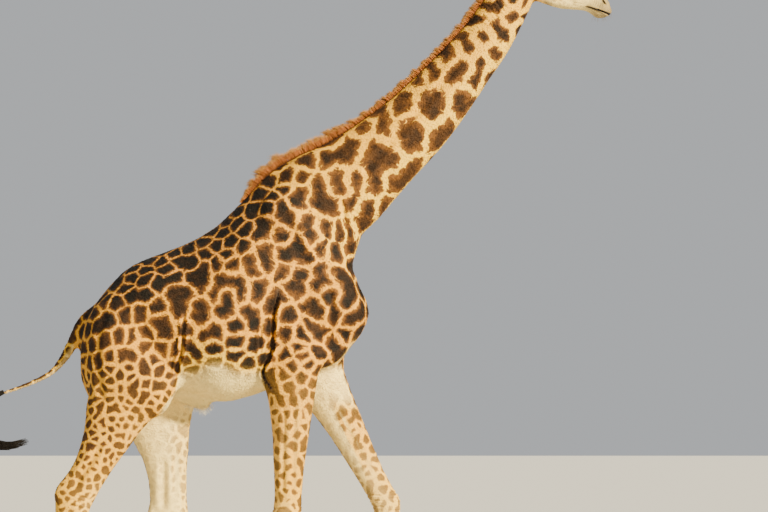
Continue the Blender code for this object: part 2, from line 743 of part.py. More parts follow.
def make_ear(sign, label):
    """A leaf-shaped ear, hollow in front, its root sunk in the head."""
    base = head_point(0.045, -0.005, 0.078 * sign)
    axis = (head_point(-0.25, 0.30, 0.92 * sign) - head_point(0, 0)).normalized()
    facing = head_point(0.90, -0.10, 0.42 * sign) - head_point(0, 0)
    facing = (facing - axis * facing.dot(axis)).normalized()
    across = axis.cross(facing)
    bm = bmesh.new()
    rings = []
    for share, width, hollow, wall in EAR:
        middle = base + axis * (EAR_LENGTH * share) - facing * (0.035 * share * share)
        ring = []
        for t in (-1, -0.72, -0.35, 0, 0.35, 0.72, 1):
            ring.append(middle + across * (width * t) - facing * (hollow * (1 - t * t)))
        for t in (0.78, 0.40, 0, -0.40, -0.78):
            depth = hollow * (1 - t * t) - wall * (1 - 0.45 * t * t)
            ring.append(middle + across * (width * 0.96 * t) - facing * depth)
        rings.append(ring)
    skin_rings(bm, rings)
    return object_from(bm, label)


def make_ossicone(sign, label):
    base = head_point(0.122, 0.062, 0.044 * sign)
    axis = (head_point(-0.22, 0.96, 0.12 * sign) - head_point(0, 0)).normalized()
    ahead = head_direction(1, 0)
    ahead = (ahead - axis * ahead.dot(axis)).normalized()
    across = axis.cross(ahead)
    bm = bmesh.new()
    rings = []
    for share, radius in OSSICONE:
        middle = base + axis * (OSSICONE_LENGTH * share)
        rings.append(round_ring(middle, ahead, across, radius, radius, radius, 12))
    skin_rings(bm, rings)
    return object_from(bm, label)


def make_eye(sign, label):
    bm = bmesh.new()
    place = Matrix.Translation(head_point(0.235, 0.022, 0.085 * sign))
    bmesh.ops.create_uvsphere(bm, u_segments=12, v_segments=8, radius=EYE_RADIUS, matrix=place)
    return object_from(bm, label)


def make_tube(stations, label, sides):
    bm = bmesh.new()
    add_tube(bm, stations, steps=2, sides=sides)
    return object_from(bm, label)


def seat(piece, *hosts):
    """Makes room for a piece in each of the solids it is sunk in."""
    for host in hosts:
        boolean(host, grown(piece, SEAT_GAP), "DIFFERENCE")


def cut_tail_root(trunk):
    """Cuts the tail's root off square, a gap short of the tail's first ring."""
    start, following = (Vector(row[:3]) for row in smooth_rows(TAIL, 2)[:2])
    away = (following - start).normalized()
    across = Vector((away.z, 0, -away.x))
    near = start - away * GAP
    corners = [near + across * 0.10, near - across * 0.05]
    corners += [near - across * 0.05 + away * 0.2, near + across * 0.10 + away * 0.2]
    cutter = prism([(corner.x, corner.z) for corner in corners], 1, -0.045, 0.045)
    boolean(trunk, cutter, "DIFFERENCE")


def tidy(piece):
    """Leaves a piece in triangles, with nothing loose or folded flat."""
    bm = bmesh.new()
    bm.from_mesh(piece.data)
    bmesh.ops.remove_doubles(bm, verts=bm.verts, dist=1e-5)
    bmesh.ops.dissolve_degenerate(bm, edges=bm.edges, dist=1e-5)
    bmesh.ops.triangulate(bm, faces=bm.faces)
    bm.to_mesh(piece.data)
    bm.free()
    piece.data.shade_smooth()
    piece.data.set_sharp_from_angle(angle=SMOOTH_ANGLE)


def centre_on_floor(pieces):
    """Moves the animal so that the middle of its length and width stands at the origin."""
    corners = [vertex.co for piece in pieces for vertex in piece.data.vertices]
    middle = Vector((0, 0, 0))
    for axis in (0, 1):
        values = [corner[axis] for corner in corners]
        middle[axis] = (min(values) + max(values)) / 2
    for piece in pieces:
        piece.data.transform(Matrix.Translation(-middle))


def main():
    clear_scene()
    flesh = make_flesh()
    cut_tail_root(flesh)
    mane = make_mane()
    pieces = part_flesh(flesh)
    seat(mane, pieces["neck"], pieces["trunk"])
    made = {"fur": list(pieces.values()), "hair": [mane], "horn": [], "eye": [], "dark_hair": []}
    made["fur"].append(make_tube(TAIL, "tail", 10))
    made["dark_hair"].append(make_tube(TAIL_BRUSH, "tail_brush", 10))
    for sign, letter in ((-1, "r"), (1, "l")):
        for kind, make, finish in (
            ("ear", make_ear, "fur"),
            ("ossicone", make_ossicone, "fur"),
            ("eye", make_eye, "eye"),
        ):
            piece = make(sign, f"{kind}_{letter}")
            seat(piece, pieces["head"])
            made[finish].append(piece)
    for name in LEGS:
        for sign, which in ((-1, "right"), (1, "left")):
            made["horn"].append(make_claw(name, sign, f"hoof_{name}_{which}"))
    finishes = {"fur": FUR, "hair": HAIR, "dark_hair": DARK_HAIR, "horn": HORN, "eye": EYE}
    for key, things in made.items():
        material = make_material(key, finishes[key])
        for thing in things:
            thing.data.materials.clear()
            thing.data.materials.append(material)
            tidy(thing)
    for thing in list(bpy.data.objects):
        if thing.hide_render:
            bpy.data.objects.remove(thing)
    centre_on_floor(list(bpy.data.objects))


main()
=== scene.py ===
# %% [markdown]
# # A Masai giraffe bull, walking
#
# This lesson dresses a set of plain solids as a life-size museum model of a giraffe. The solids
# already have the right size and pose. What they lack is everything that makes them an animal: one
# unbroken skin with folds, lids and nostrils, the patched coat, hair that breaks the outline, wet
# eyes and worn hooves. Each step below adds one of these.
#
# Every length is in metres. +X is forward, +Y is the animal's left and +Z is up.

import math

import bmesh
import bpy
import numpy as np
from mathutils import Matrix, Vector
from mathutils.bvhtree import BVHTree
from mathutils.kdtree import KDTree


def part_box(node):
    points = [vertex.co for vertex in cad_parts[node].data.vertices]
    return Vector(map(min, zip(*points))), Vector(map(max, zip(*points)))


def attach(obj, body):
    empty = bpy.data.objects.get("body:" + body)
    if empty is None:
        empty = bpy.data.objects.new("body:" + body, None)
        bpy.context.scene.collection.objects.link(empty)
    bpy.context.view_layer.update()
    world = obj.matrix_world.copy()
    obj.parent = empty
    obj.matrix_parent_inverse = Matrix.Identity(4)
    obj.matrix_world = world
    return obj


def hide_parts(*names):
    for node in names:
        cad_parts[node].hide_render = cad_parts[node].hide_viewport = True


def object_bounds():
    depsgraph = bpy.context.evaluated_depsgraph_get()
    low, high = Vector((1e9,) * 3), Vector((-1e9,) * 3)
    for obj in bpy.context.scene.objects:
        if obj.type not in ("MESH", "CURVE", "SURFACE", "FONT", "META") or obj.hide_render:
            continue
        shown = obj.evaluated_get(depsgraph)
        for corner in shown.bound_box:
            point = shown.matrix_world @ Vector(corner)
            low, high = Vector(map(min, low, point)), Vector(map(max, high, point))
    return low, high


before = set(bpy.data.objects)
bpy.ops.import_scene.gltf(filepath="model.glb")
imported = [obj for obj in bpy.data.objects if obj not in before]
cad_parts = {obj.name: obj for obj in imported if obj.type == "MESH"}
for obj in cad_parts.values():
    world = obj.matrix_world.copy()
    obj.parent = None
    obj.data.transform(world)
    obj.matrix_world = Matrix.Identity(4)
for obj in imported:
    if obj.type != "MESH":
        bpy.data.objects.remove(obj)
solid_box = [list(corner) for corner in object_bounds()]
rng = np.random.default_rng(11)
LEG_NAMES = ("fore_r", "fore_l", "hind_r", "hind_l")
SIDES = ((-1, "r"), (1, "l"))
print("solids:", len(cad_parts), "box:", [[round(v, 3) for v in c] for c in solid_box])

# %% [markdown]
# ## Camera, floor and light
#
# An animal this tall is best seen from far off with a long lens, from about the height of its
# knees, so that its legs don't shrink away from its head. The frame is a little over four metres
# wide at the animal, which crops the feet and the brow.
#
# The light is one broad, low sun from ahead of the animal and beside the camera, with a weak one
# from the other side and a pale sky all round that fills the shadows. Sun lamps were chosen and
# not area lamps, because the camera stands some forty metres away and every side of the model
# should get the same light.

# %% Camera, floor and light
CAMERA_AWAY = 37.0
CAMERA_HEIGHT = 1.46
AIM = Vector((0.510, 0.0, 2.500))
VIEW_WIDTH = 4.22
SENSOR = 36.0
FLOOR_RADIUS = 900.0


def link(thing):
    bpy.context.scene.collection.objects.link(thing)
    return thing


def object_from(bm, name):
    mesh = bpy.data.meshes.new(name)
    bm.to_mesh(mesh)
    bm.free()
    return link(bpy.data.objects.new(name, mesh))


def make_camera():
    data = bpy.data.cameras.new("camera")
    data.sensor_width = SENSOR
    data.lens = SENSOR * CAMERA_AWAY / VIEW_WIDTH
    data.clip_start, data.clip_end = 1.0, 3000.0
    camera = link(bpy.data.objects.new("camera", data))
    camera.location = (AIM.x, -CAMERA_AWAY, CAMERA_HEIGHT)
    camera.rotation_euler = (AIM - camera.location).to_track_quat("-Z", "Y").to_euler()
    bpy.context.scene.camera = camera
    return camera


def make_sun(name, towards, strength, softness, colour):
    data = bpy.data.lights.new(name, "SUN")
    data.energy = strength
    data.angle = math.radians(softness)
    data.color = colour
    sun = link(bpy.data.objects.new(name, data))
    sun.rotation_euler = Vector(towards).to_track_quat("-Z", "Y").to_euler()


def make_sky(colour, strength):
    world = bpy.data.worlds.new("sky")
    world.use_nodes = True
    background = world.node_tree.nodes["Background"].inputs
    background["Color"].default_value = (*colour, 1)
    background["Strength"].default_value = strength
    bpy.context.scene.world = world


def make_floor():
    bm = bmesh.new()
    bmesh.ops.create_circle(bm, cap_ends=True, segments=96, radius=FLOOR_RADIUS)
    floor = object_from(bm, "floor")
    paint = bpy.data.materials.new("floor_paint")
    paint.use_nodes = True
    shader = paint.node_tree.nodes["Principled BSDF"]
    shader.inputs["Base Color"].default_value = (0.62, 0.60, 0.56, 1)
    shader.inputs["Roughness"].default_value = 0.9
    floor.data.materials.append(paint)


camera = make_camera()
make_sun("key", (-0.66, 0.64, -0.40), 13.0, 5, (1.0, 0.88, 0.60))
make_sun("fill", (0.6, -0.7, -0.35), 0.4, 60, (0.90, 0.95, 1.0))
make_sky((0.66, 0.68, 0.70), 0.72)
make_floor()
print("lens:", round(camera.data.lens), "mm from", CAMERA_AWAY, "m")

# %% [markdown]
# ## Small tools
#
# A few helpers come back in every step: applying one modifier, reading or writing a mesh's points
# as an array, which is how the clay is modelled below, and fading smoothly from one value to
# another.

# %% Small tools


def with_modifier(thing, kind, **settings):
    """Applies one modifier to an object's mesh."""
    modifier = thing.modifiers.new(kind.title(), kind)
    for key, value in settings.items():
        setattr(modifier, key, value)
    bpy.context.view_layer.update()
    graph = bpy.context.evaluated_depsgraph_get()
    mesh = bpy.data.meshes.new_from_object(thing.evaluated_get(graph), depsgraph=graph)
    thing.modifiers.remove(modifier)
    old = thing.data
    thing.data = mesh
    bpy.data.meshes.remove(old)
    return thing


def read_vectors(items, field):
    """A field of three numbers, of every point or face, as an array."""
    values = np.empty(len(items) * 3, np.float32)
    items.foreach_get(field, values)
    return values.reshape(-1, 3).astype(float)


def get_points(mesh):
    return read_vectors(mesh.vertices, "co")


def get_normals(mesh):
    return read_vectors(mesh.vertex_normals, "vector")


def set_points(mesh, points):
    mesh.vertices.foreach_set("co", points.astype(np.float32).ravel())
    mesh.update()


def mesh_of(name, points, triangles):
    """An object made from arrays of points and triangles."""
    mesh = bpy.data.meshes.new(name)
    mesh.vertices.add(len(points))
    mesh.loops.add(triangles.size)
    mesh.polygons.add(len(triangles))
    mesh.vertices.foreach_set("co", points.astype(np.float32).ravel())
    mesh.loops.foreach_set("vertex_index", triangles.astype(np.int32).ravel())
    mesh.polygons.foreach_set("loop_start", np.arange(0, triangles.size, 3, dtype=np.int32))
    mesh.update(calc_edges=True)
    mesh.shade_smooth()
    return link(bpy.data.objects.new(name, mesh))


def triangle_count(thing):
    return sum(len(face.vertices) - 2 for face in thing.data.polygons)


def ramp(values, start, end):
    """0 before start, 1 after end, and a smooth rise between; start may be the larger."""
    share = np.clip((values - start) / (end - start), 0.0, 1.0)
    return share * share * (3 - 2 * share)


def fade_to(first, second, share):
    return first * (1 - share) + second * share


def unit(vectors):
    return vectors / np.maximum(np.linalg.norm(vectors, axis=-1, keepdims=True), 1e-9)


def smooth_path(stations, steps):
    """Rows of numbers with further rows between them, on a curve through all of them."""
    rows = np.array(stations, float)
    padded = np.vstack([rows[:1], rows, rows[-1:]])
    made = []
    for i in range(len(rows) - 1):
        a, b, c, d = padded[i : i + 4]
        for t in np.arange(steps) / steps:
            linear, square, cube = c - a, 2 * a - 5 * b + 4 * c - d, 3 * b - a - 3 * c + d
            made.append(0.5 * (2 * b + linear * t + square * t**2 + cube * t**3))
    return np.vstack([made, rows[-1:]])


def path_steps(path):
    """How far along a path each of its points lies."""
    return np.concatenate([[0], np.cumsum(np.linalg.norm(np.diff(path, axis=0), axis=1))])


# %% [markdown]
# ## The head's own frame
#
# The head hangs at an angle, so its features are easier to place in a frame of their own: s runs
# from the poll down the face to the lips, h stands up from that line, and y is the side. The two
# eye solids fix that frame, as their places in it are known.

# %% The head's own frame
HEAD_PITCH = math.radians(24)
EYE_PLACE = (0.235, 0.022)  # s and h
eye_low, eye_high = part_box("eye_l")
EYE_RADIUS = (eye_high.z - eye_low.z) / 2
eye_middle = (eye_low + eye_high) / 2
EYE_SIDE = eye_middle.y
ALONG = np.array((math.cos(HEAD_PITCH), 0, -math.sin(HEAD_PITCH)))
ABOVE = np.array((math.sin(HEAD_PITCH), 0, math.cos(HEAD_PITCH)))
POLL = np.array((eye_middle.x, 0, eye_middle.z)) - ALONG * EYE_PLACE[0] - ABOVE * EYE_PLACE[1]
# where the head parts from the neck, seen from the side
NAPE, THROAT = np.array((1.140, 4.105)), np.array((1.367, 3.901))


def head_point(s, h, y=0.0):
    return POLL + ALONG * s + ABOVE * h + np.array((0, y, 0))


def head_direction(s, h, y=0.0):
    return unit(ALONG * s + ABOVE * h + np.array((0, y, 0)))


def eye_point(side):
    return head_point(*EYE_PLACE, EYE_SIDE * side)


def to_head(points):
    """Points of the animal's frame as s, h and y."""
    away = points - POLL
    return np.stack([away @ ALONG, away @ ABOVE, away[:, 1]], axis=1)


def head_share(points):
    """1 on the head and 0 on the neck, with a smooth change at the jaw's angle."""
    run = unit(NAPE - THROAT)
    return ramp((points[:, [0, 2]] - NAPE) @ np.array((run[1], -run[0])), -0.03, 0.05)


print("poll at", POLL.round(3), "eye radius", round(EYE_RADIUS, 4))

# %% [markdown]
# ## One skin over all the flesh
#
# The solids of the trunk, neck, head, legs and tail meet face to face, with hair-thin gaps. A
# living animal has one skin over them all. Sewing the solids together edge by edge would leave
# their facets, so they are treated as lumps of clay: swollen by a millimetre and a half until they
# touch, melted into one with a voxel remesh, and smoothed until no facet or joint is left. The
# mane's seat and the eye sockets are filled first, or the remesh would follow those pits.

# %% Lumps of clay
CLAY_GRAIN = 0.0055
MELT = 0.0015
EYE_SHRINK = 0.004  # the eyes fill their sockets without standing out of them
SEAT_HALF, SEAT_DEEP = 0.021, 0.030
FLESH_NODES = ("trunk", "neck", "head", *LEG_NAMES, "tail")
EAR_NODES = ("ear_l", "ear_r")


def merged_copy(name):
    """A bmesh of a node, its loose triangles sewn together."""
    bm = bmesh.new()
    bm.from_mesh(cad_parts[name].data)
    bmesh.ops.remove_doubles(bm, verts=bm.verts, dist=2e-5)
    bm.normal_update()
    return bm


def swell_out(bm, by):
    for vertex, normal in [(v, v.normal.copy()) for v in bm.verts]:
        vertex.co += normal * by


def mane_line():
    """Stations of the mane: x and z of the skin under it, and the way to its crest."""
    points = get_points(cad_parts["mane"].data)
    low, high = points[:, 1].min(), points[:, 1].max()
    beside = (points[:, 1] - (low + high) / 2) / (high - low) * 2
    rims = np.unique(points[beside > 0.95].round(5), axis=0)[:, [0, 2]]
    crest = np.unique(points[np.abs(beside) < 0.05].round(5), axis=0)[:, [0, 2]]
    ahead = np.gradient(rims, axis=0)
    up = unit(np.stack([-ahead[:, 1], ahead[:, 0]], axis=1))
    heights = []
    for rim, way in zip(rims, up):
        away = crest - rim
        across = np.abs(away @ np.array((way[1], -way[0])))
        heights.append(max(float(away[np.argmin(across)] @ way), 0.006))
    return rims, up, np.array(heights)


mane_rims, mane_ups, mane_heights = mane_line()
print("mane of", len(mane_rims), "stations, up to", mane_heights.max().round(3), "high")

# %% Melted into one


def mane_seat_bar():
    """A bar that fills the groove which holds the mane, up to the skin and no higher."""
    bm = bmesh.new()
    foot = SEAT_HALF * 0.8
    corners = ((-SEAT_HALF, -0.002), (SEAT_HALF, -0.002), (foot, -SEAT_DEEP), (-foot, -SEAT_DEEP))
    rings = []
    for (x, z), (up_x, up_z) in zip(mane_rims, mane_ups):
        rings.append([bm.verts.new((x + up_x * rise, y, z + up_z * rise)) for y, rise in corners])
    for first, second in zip(rings, rings[1:]):
        for i in range(4):
            j = (i + 1) % 4
            bm.faces.new((first[i], first[j], second[j], second[i]))
    bm.faces.new(rings[0])
    bm.faces.new(rings[-1][::-1])
    bmesh.ops.recalc_face_normals(bm, faces=bm.faces)
    return bm


def make_clay():
    lumps = []
    for name in (*FLESH_NODES, "eye_l", "eye_r"):
        lumps.append(merged_copy(name))
        swell_out(lumps[-1], MELT if name in FLESH_NODES else -EYE_SHRINK)
    whole = bmesh.new()
    for lump in (*lumps, mane_seat_bar()):
        mesh = bpy.data.meshes.new("lump")
        lump.to_mesh(mesh)
        lump.free()
        whole.from_mesh(mesh)
        bpy.data.meshes.remove(mesh)
    bmesh.ops.triangulate(whole, faces=whole.faces)
    clay = object_from(whole, "skin")
    with_modifier(clay, "REMESH", mode="VOXEL", voxel_size=CLAY_GRAIN, adaptivity=0.0)
    return clay


def weigh(thing, name, values):
    """A vertex group whose weights are given, in sixteen steps."""
    group = thing.vertex_groups.new(name=name)
    levels = np.round(np.clip(values, 0, 1) * 16).astype(int)
    for level in range(1, 17):
        chosen = np.flatnonzero(levels == level)
        if len(chosen):
            group.add(chosen.tolist(), level / 16, "REPLACE")
    return name


skin = make_clay()
points = get_points(skin.data)
on_head = ramp(to_head(points)[:, 0], -0.06, 0.04) * (points[:, 2] > 3.7)
on_foot = ramp(points[:, 2], 1.35, 1.0)
body = weigh(skin, "body", 1 - np.maximum(on_head * 0.85, on_foot * 0.7))
with_modifier(skin, "SMOOTH", factor=0.5, iterations=70, vertex_group=body)
with_modifier(skin, "SMOOTH", factor=0.5, iterations=6)
skin.vertex_groups.clear()
print("clay of", len(skin.data.vertices), "points")

# %% [markdown]
# ## Finer clay where the detail is
#
# Lids, nostrils and lips need points a millimetre or so apart, and the flank doesn't. Splitting
# the faces of the head once, and those round the eyes and the muzzle once more, puts the points
# where they are wanted. A finer remesh of the whole animal would cost ten times as many.

# %% Finer clay where the detail is


def split_faces(thing, wanted):
    """Splits each face in four whose middle is wanted."""
    bm = bmesh.new()
    bm.from_mesh(thing.data)
    middles = np.array([face.calc_center_median() for face in bm.faces])
    keep = wanted(middles)
    edges = dict.fromkeys(edge for face, use in zip(bm.faces, keep) if use for edge in face.edges)
    bmesh.ops.subdivide_edges(bm, edges=list(edges), cuts=1, use_grid_fill=True, smooth=0.0)
    bm.to_mesh(thing.data)
    bm.free()


def near_head(middles):
    place = to_head(middles)
    return (place[:, 0] > -0.03) & (middles[:, 2] > 3.72) & (place[:, 1] > -0.24)


def near_features(middles):
    place = to_head(middles)
    eye = place - np.array((*EYE_PLACE, 0))
    eye[:, 2] = np.abs(place[:, 2]) - EYE_SIDE
    return (np.linalg.norm(eye, axis=1) < 0.046) | (place[:, 0] > 0.535)


split_faces(skin, near_head)
split_faces(skin, near_features)
print("clay of", len(skin.data.vertices), "points, the head's among them")

# %% [markdown]
# ## Modelling the clay
#
# From here on the skin is modelled as a sculptor would, with two tools. One presses a groove along
# a path, with a soft lip beside it, and the other swells or hollows a rounded place. Both move
# points along the skin's own normals. Paths are drawn seen from the side, so they need only two
# numbers a point, and each tool works on the side of the body that it is told to.
#
# Forms that both sides share are kept as rows, in the order of the work. A row of three is a
# swelling: its middle, its sizes and how far it rises. A longer row is a groove: its path, half
# width, depth and lip, and then the share of its length over which each end runs out.

# %% Modelling the clay


class Clay:
    """The skin's points and normals, with the tools that move them."""

    def __init__(self, thing):
        self.thing = thing
        self.read()

    def read(self):
        self.points = get_points(self.thing.data)
        self.normals = get_normals(self.thing.data)
        self.head = to_head(self.points)

    def write(self):
        set_points(self.thing.data, self.points)
        self.read()

    def groove(self, path, width, depth, lip=0.0, where=None, head=False, taper=0.18):
        """Presses a groove along a path of two or three numbers a point."""
        path = smooth_path(path, 4)
        flat = path.shape[1] == 2
        space = self.head if head else self.points
        columns = ((0, 1) if head else (0, 2)) if flat else (0, 1, 2)
        places = space[:, columns]
        reach = 3.2 * width
        inside = ((places > path.min(0) - reach) & (places < path.max(0) + reach)).all(1)
        if where is not None:
            inside &= where > 0.01
        chosen = np.flatnonzero(inside)
        if not len(chosen):
            return
        best = np.full(len(chosen), 9.0)
        along = np.zeros(len(chosen))
        starts = path_steps(path)
        for i, length in enumerate(np.linalg.norm(np.diff(path, axis=0), axis=1)):
            if length < 1e-7:
                continue
            run = (path[i + 1] - path[i]) / length
            rel = places[chosen] - path[i]
            t = np.clip(rel @ run, 0, length)
            away = np.linalg.norm(rel - t[:, None] * run, axis=1)
            closer = away < best
            best[closer] = away[closer]
            along[closer] = starts[i] + t[closer]
        share = along / starts[-1]
        fade = ramp(share, 0, taper) * ramp(share, 1, 1 - taper) if taper else 1.0
        press = -depth * np.exp(-((best / width) ** 2))
        press += lip * np.exp(-(((best - 1.7 * width) / (0.8 * width)) ** 2))
        amount = press * fade
        if where is not None:
            amount = amount * where[chosen]
        self.points[chosen] += self.normals[chosen] * amount[:, None]

    def swell(self, middle, sizes, amount, where=None, head=False):
        """Swells, or with a negative amount hollows, a rounded place."""
        rel = (self.head if head else self.points) - np.array(middle)
        near = np.flatnonzero((np.abs(rel) < 3 * max(sizes)).all(1))
        fall = np.exp(-((rel[near] / np.array(sizes)) ** 2).sum(1))
        if where is not None:
            fall = fall * where[near]
        self.points[near] += self.normals[near] * (amount * fall)[:, None]

    def forms(self, rows, side, where, head=False):
        """Models rows of swellings and grooves, their y turned to one side."""
        flip = np.array((1, 1, side) if head else (1, side, 1))
        for row in rows:
            if len(row) == 3:
                self.swell(np.array(row[0]) * flip, row[1], row[2], where, head)
                continue
            path, width, depth, lip, *taper = row
            path = [np.array(point) * (flip if len(point) == 3 else 1) for point in path]
            self.groove(path, width, depth, lip, where, head, *taper)

    def on_side(self, side, facing=0.15):
        """1 where the skin is on that side and looks that way."""
        looks = ramp(self.normals[:, 1] * side, facing, facing + 0.3)
        return looks * (self.points[:, 1] * side > 0)


clay = Clay(skin)

# %% [markdown]
# ## Trunk and neck
#
# What shows under a giraffe's short coat: the deep fold behind the upper arm, the flank's fold in
# front of the thigh, the blade of the shoulder with its ridge, the hip bone with a hollow ahead
# of it, faint ribs, and on the neck the long groove of the windpipe and the vein beside it.

# %% Forms of trunk and neck
ARM_FOLD = (
    (-0.058, 2.33), (-0.075, 2.24), (-0.090, 2.15), (-0.093, 2.05), (-0.105, 1.97),
    (-0.140, 1.895), (-0.152, 1.855), (-0.138, 1.815), (-0.105, 1.775),
)
THIGH_FOLD = ((-0.575, 2.20), (-0.582, 2.09), (-0.590, 1.98), (-0.612, 1.90), (-0.648, 1.80))
TRUNK_FORMS = (
    # the fold behind the upper arm, and the finer one behind that
    (ARM_FOLD, 0.0105, 0.030, 0.008, 0.22),
    ((-0.010, 0.22, 2.16), (0.060, 0.15, 0.130), 0.008),
    (((-0.148, 2.18), (-0.158, 2.09), (-0.166, 2.00), (-0.150, 1.92)), 0.009, 0.006, 0.004, 0.4),
    # the blade's upper end stands out less than its middle
    ((-0.085, 0.17, 2.84), (0.070, 0.10, 0.060), -0.009),
    # the flank's fold, which runs down the front of the thigh
    (THIGH_FOLD, 0.0105, 0.021, 0.008, 0.25),
    ((-0.665, 0.24, 2.00), (0.060, 0.15, 0.150), 0.008),
    # shoulder blade: a hollow each side of its ridge
    (((-0.060, 2.76), (0.020, 2.60), (0.110, 2.38)), 0.040, 0.007, 0.0),
    (((0.075, 2.74), (0.150, 2.56), (0.215, 2.36)), 0.040, 0.008, 0.0),
    (((0.010, 2.77), (0.085, 2.58), (0.165, 2.36)), 0.022, -0.004, 0.0),
    # where the arm's muscles part, and the edge of the breast
    (((0.205, 2.34), (0.230, 2.22), (0.215, 2.10), (0.165, 2.00)), 0.018, 0.007, 0.002),
    (((0.105, 2.33), (0.060, 2.20), (0.045, 2.08), (0.030, 1.98)), 0.024, 0.006, 0.0),
    # hip bone and the hollow ahead of it
    ((-0.720, 0.21, 2.41), (0.060, 0.10, 0.045), 0.010),
    ((-0.560, 0.25, 2.37), (0.090, 0.15, 0.080), -0.012),
    # the parting of the thigh's muscles, down from the pin bone
    (((-1.000, 2.22), (-1.052, 2.05), (-1.050, 1.86), (-1.020, 1.66)), 0.020, 0.008, 0.002),
    (((-0.820, 2.28), (-0.800, 2.12), (-0.760, 1.98)), 0.030, 0.005, 0.0),
)
NECK_FORMS = (
    # the neck's long muscle, the groove under it and the crease where neck and trunk meet
    (
        ((0.985, 3.66), (0.900, 3.53), (0.760, 3.36), (0.600, 3.18), (0.440, 3.00), (0.345, 2.83)),
        0.022, 0.006, 0.003,
    ),
    (((0.900, 3.63), (0.740, 3.46), (0.560, 3.30), (0.360, 3.16), (0.180, 3.04)), 0.030, 0.004, 0.0),
    (((0.275, 2.83), (0.300, 2.68), (0.318, 2.52), (0.330, 2.40)), 0.014, 0.006, 0.003),
)


def ribs():
    for rib in range(7):
        x = -0.175 - 0.058 * rib
        bow = 0.012 * math.sin(2.3 * rib)
        upper = (x + 0.030, 2.36 - 0.016 * rib), (x - 0.008 + bow, 2.22)
        yield (*upper, (x - 0.026, 2.06), (x - 0.012, 1.94)), 0.015, 0.0013, 0.0005, 0.4


def neck_folds():
    """Slack folds where the neck meets the trunk, and the throat's behind the jaw."""
    for fold in range(4):
        x = 0.325 + 0.028 * fold
        path = ((x - 0.05, 2.60 + 0.075 * fold), (x + 0.01, 2.575 + 0.070 * fold))
        yield path, 0.008, 0.002, 0.001
    for fold in range(5):
        x, z = 1.195 - 0.030 * fold, 3.98 - 0.045 * fold
        yield ((x - 0.030, z + 0.045), (x, z), (x + 0.050, z - 0.062)), 0.007, 0.0024, 0.0014


for side, _ in SIDES:
    where = clay.on_side(side)
    clay.forms((*TRUNK_FORMS, *ribs()), side, where * (clay.points[:, 2] > 1.7))
    clay.forms((*NECK_FORMS, *neck_folds()), side, where)
clay.write()
print("trunk and neck modelled")

# %% [markdown]
# ## Legs
#
# A giraffe's leg is skin over bone and cord below the knee. Each leg is modelled in its own terms:
# how far down the bone a point lies and how far ahead of it, which come from the leg's joints.
# The same calls then serve a leg that stands straight and one that swings.

# %% Joints of the legs
JOINTS = {
    "fore_r": ((-0.005, 1.850), (-0.018, 1.062), (-0.042, 0.300)),
    "fore_l": ((0.132, 1.840), (0.526, 1.132), (0.496, 0.352)),
    "hind_r": ((-0.790, 1.755), (-1.180, 1.145), (-1.222, 0.372)),
    "hind_l": ((-0.655, 1.745), (-0.658, 1.045), (-0.690, 0.300)),
}
LEG_SIDE = {name: (1 if name.endswith("l") else -1) for name in LEG_NAMES}
LEG_Y = {name: (0.165 if name.startswith("fore") else 0.175) * LEG_SIDE[name] for name in LEG_NAMES}
# Grooves down a bone: shares of the way down it, how far ahead, half width, depth and lip
CANNON_CORDS = (
    ((0.14, 0.35, 0.6, 0.86), -0.012, 0.009, 0.0048, 0.002),
    ((0.20, 0.45, 0.7, 0.9), -0.031, 0.006, 0.0022, 0.001),
)
FOREARM_MUSCLES = (
    ((0.12, 0.35, 0.62, 0.86), 0.030, 0.014, 0.006, 0.002),
    ((0.20, 0.45, 0.70, 0.88), -0.028, 0.012, 0.005, 0.002),
)
SHIN_HOLLOWS = (
    ((0.50, 0.66, 0.80, 0.93), -0.050, 0.021, 0.012, 0.003),
    ((0.45, 0.65, 0.85), 0.020, 0.014, 0.004, 0.0),
)


def on_bone(upper, lower, share, ahead):
    """x and z of a place on a bone: a share of the way down it, and so far ahead of it."""
    upper, lower = np.array(upper), np.array(lower)
    run = unit(lower - upper)
    return tuple(upper + (lower - upper) * share + np.array((-run[1], run[0])) * ahead)


def bone_grooves(upper, lower, rows, where):
    for shares, ahead, *size in rows:
        clay.groove([on_bone(upper, lower, share, ahead) for share in shares], *size, where)


print("joints of", len(JOINTS), "legs")

# %% Knees, hocks and cords


def model_foreleg(elbow, knee, fetlock, y, faces):
    """Long hollows that run out above the knee, the elbow's point, and folds round the knee."""
    bone_grooves(elbow, knee, FOREARM_MUSCLES, faces["outer"])
    bone_grooves(elbow, knee, (((0.25, 0.50, 0.80), 0.012, 0.014, 0.004, 0.0),), faces["inner"])
    point = (elbow[0] - 0.120, y, elbow[1] + 0.010)
    clay.swell(point, (0.045, 0.07, 0.050), 0.006, faces["whole"])
    length = math.dist(knee, fetlock)
    for step, end in ((-0.070, 0.10), (-0.036, 0.11), (0.030, 0.11), (0.064, 0.10)):
        share = step / length
        path = on_bone(knee, fetlock, share, 0.015), on_bone(knee, fetlock, share - 0.004, end)
        clay.groove(path, 0.0055, 0.0026, 0.0016, faces["front"], taper=0.0)
    for step in (-0.050, -0.022, 0.012):
        path = [on_bone(knee, fetlock, step / length, ahead) for ahead in (-0.020, -0.120)]
        clay.groove(path, 0.0050, 0.0026, 0.0014, faces["back"], taper=0.0)


def model_hindleg(stifle, hock, side, faces):
    """The hollow between the shin and the heel's cord, and folds across the hock."""
    for face in (faces["outer"], faces["inner"]):
        bone_grooves(stifle, hock, SHIN_HOLLOWS, face)
        for fold in range(3):
            share = 0.93 + 0.037 * fold + 0.011 * math.sin(5 * fold + 3 * side)
            places = ((share - 0.010, 0.062), (share, 0.020), (share + 0.018, -0.030))
            clay.groove([on_bone(stifle, hock, *place) for place in places], 0.006, 0.0020, 0.0012, face)


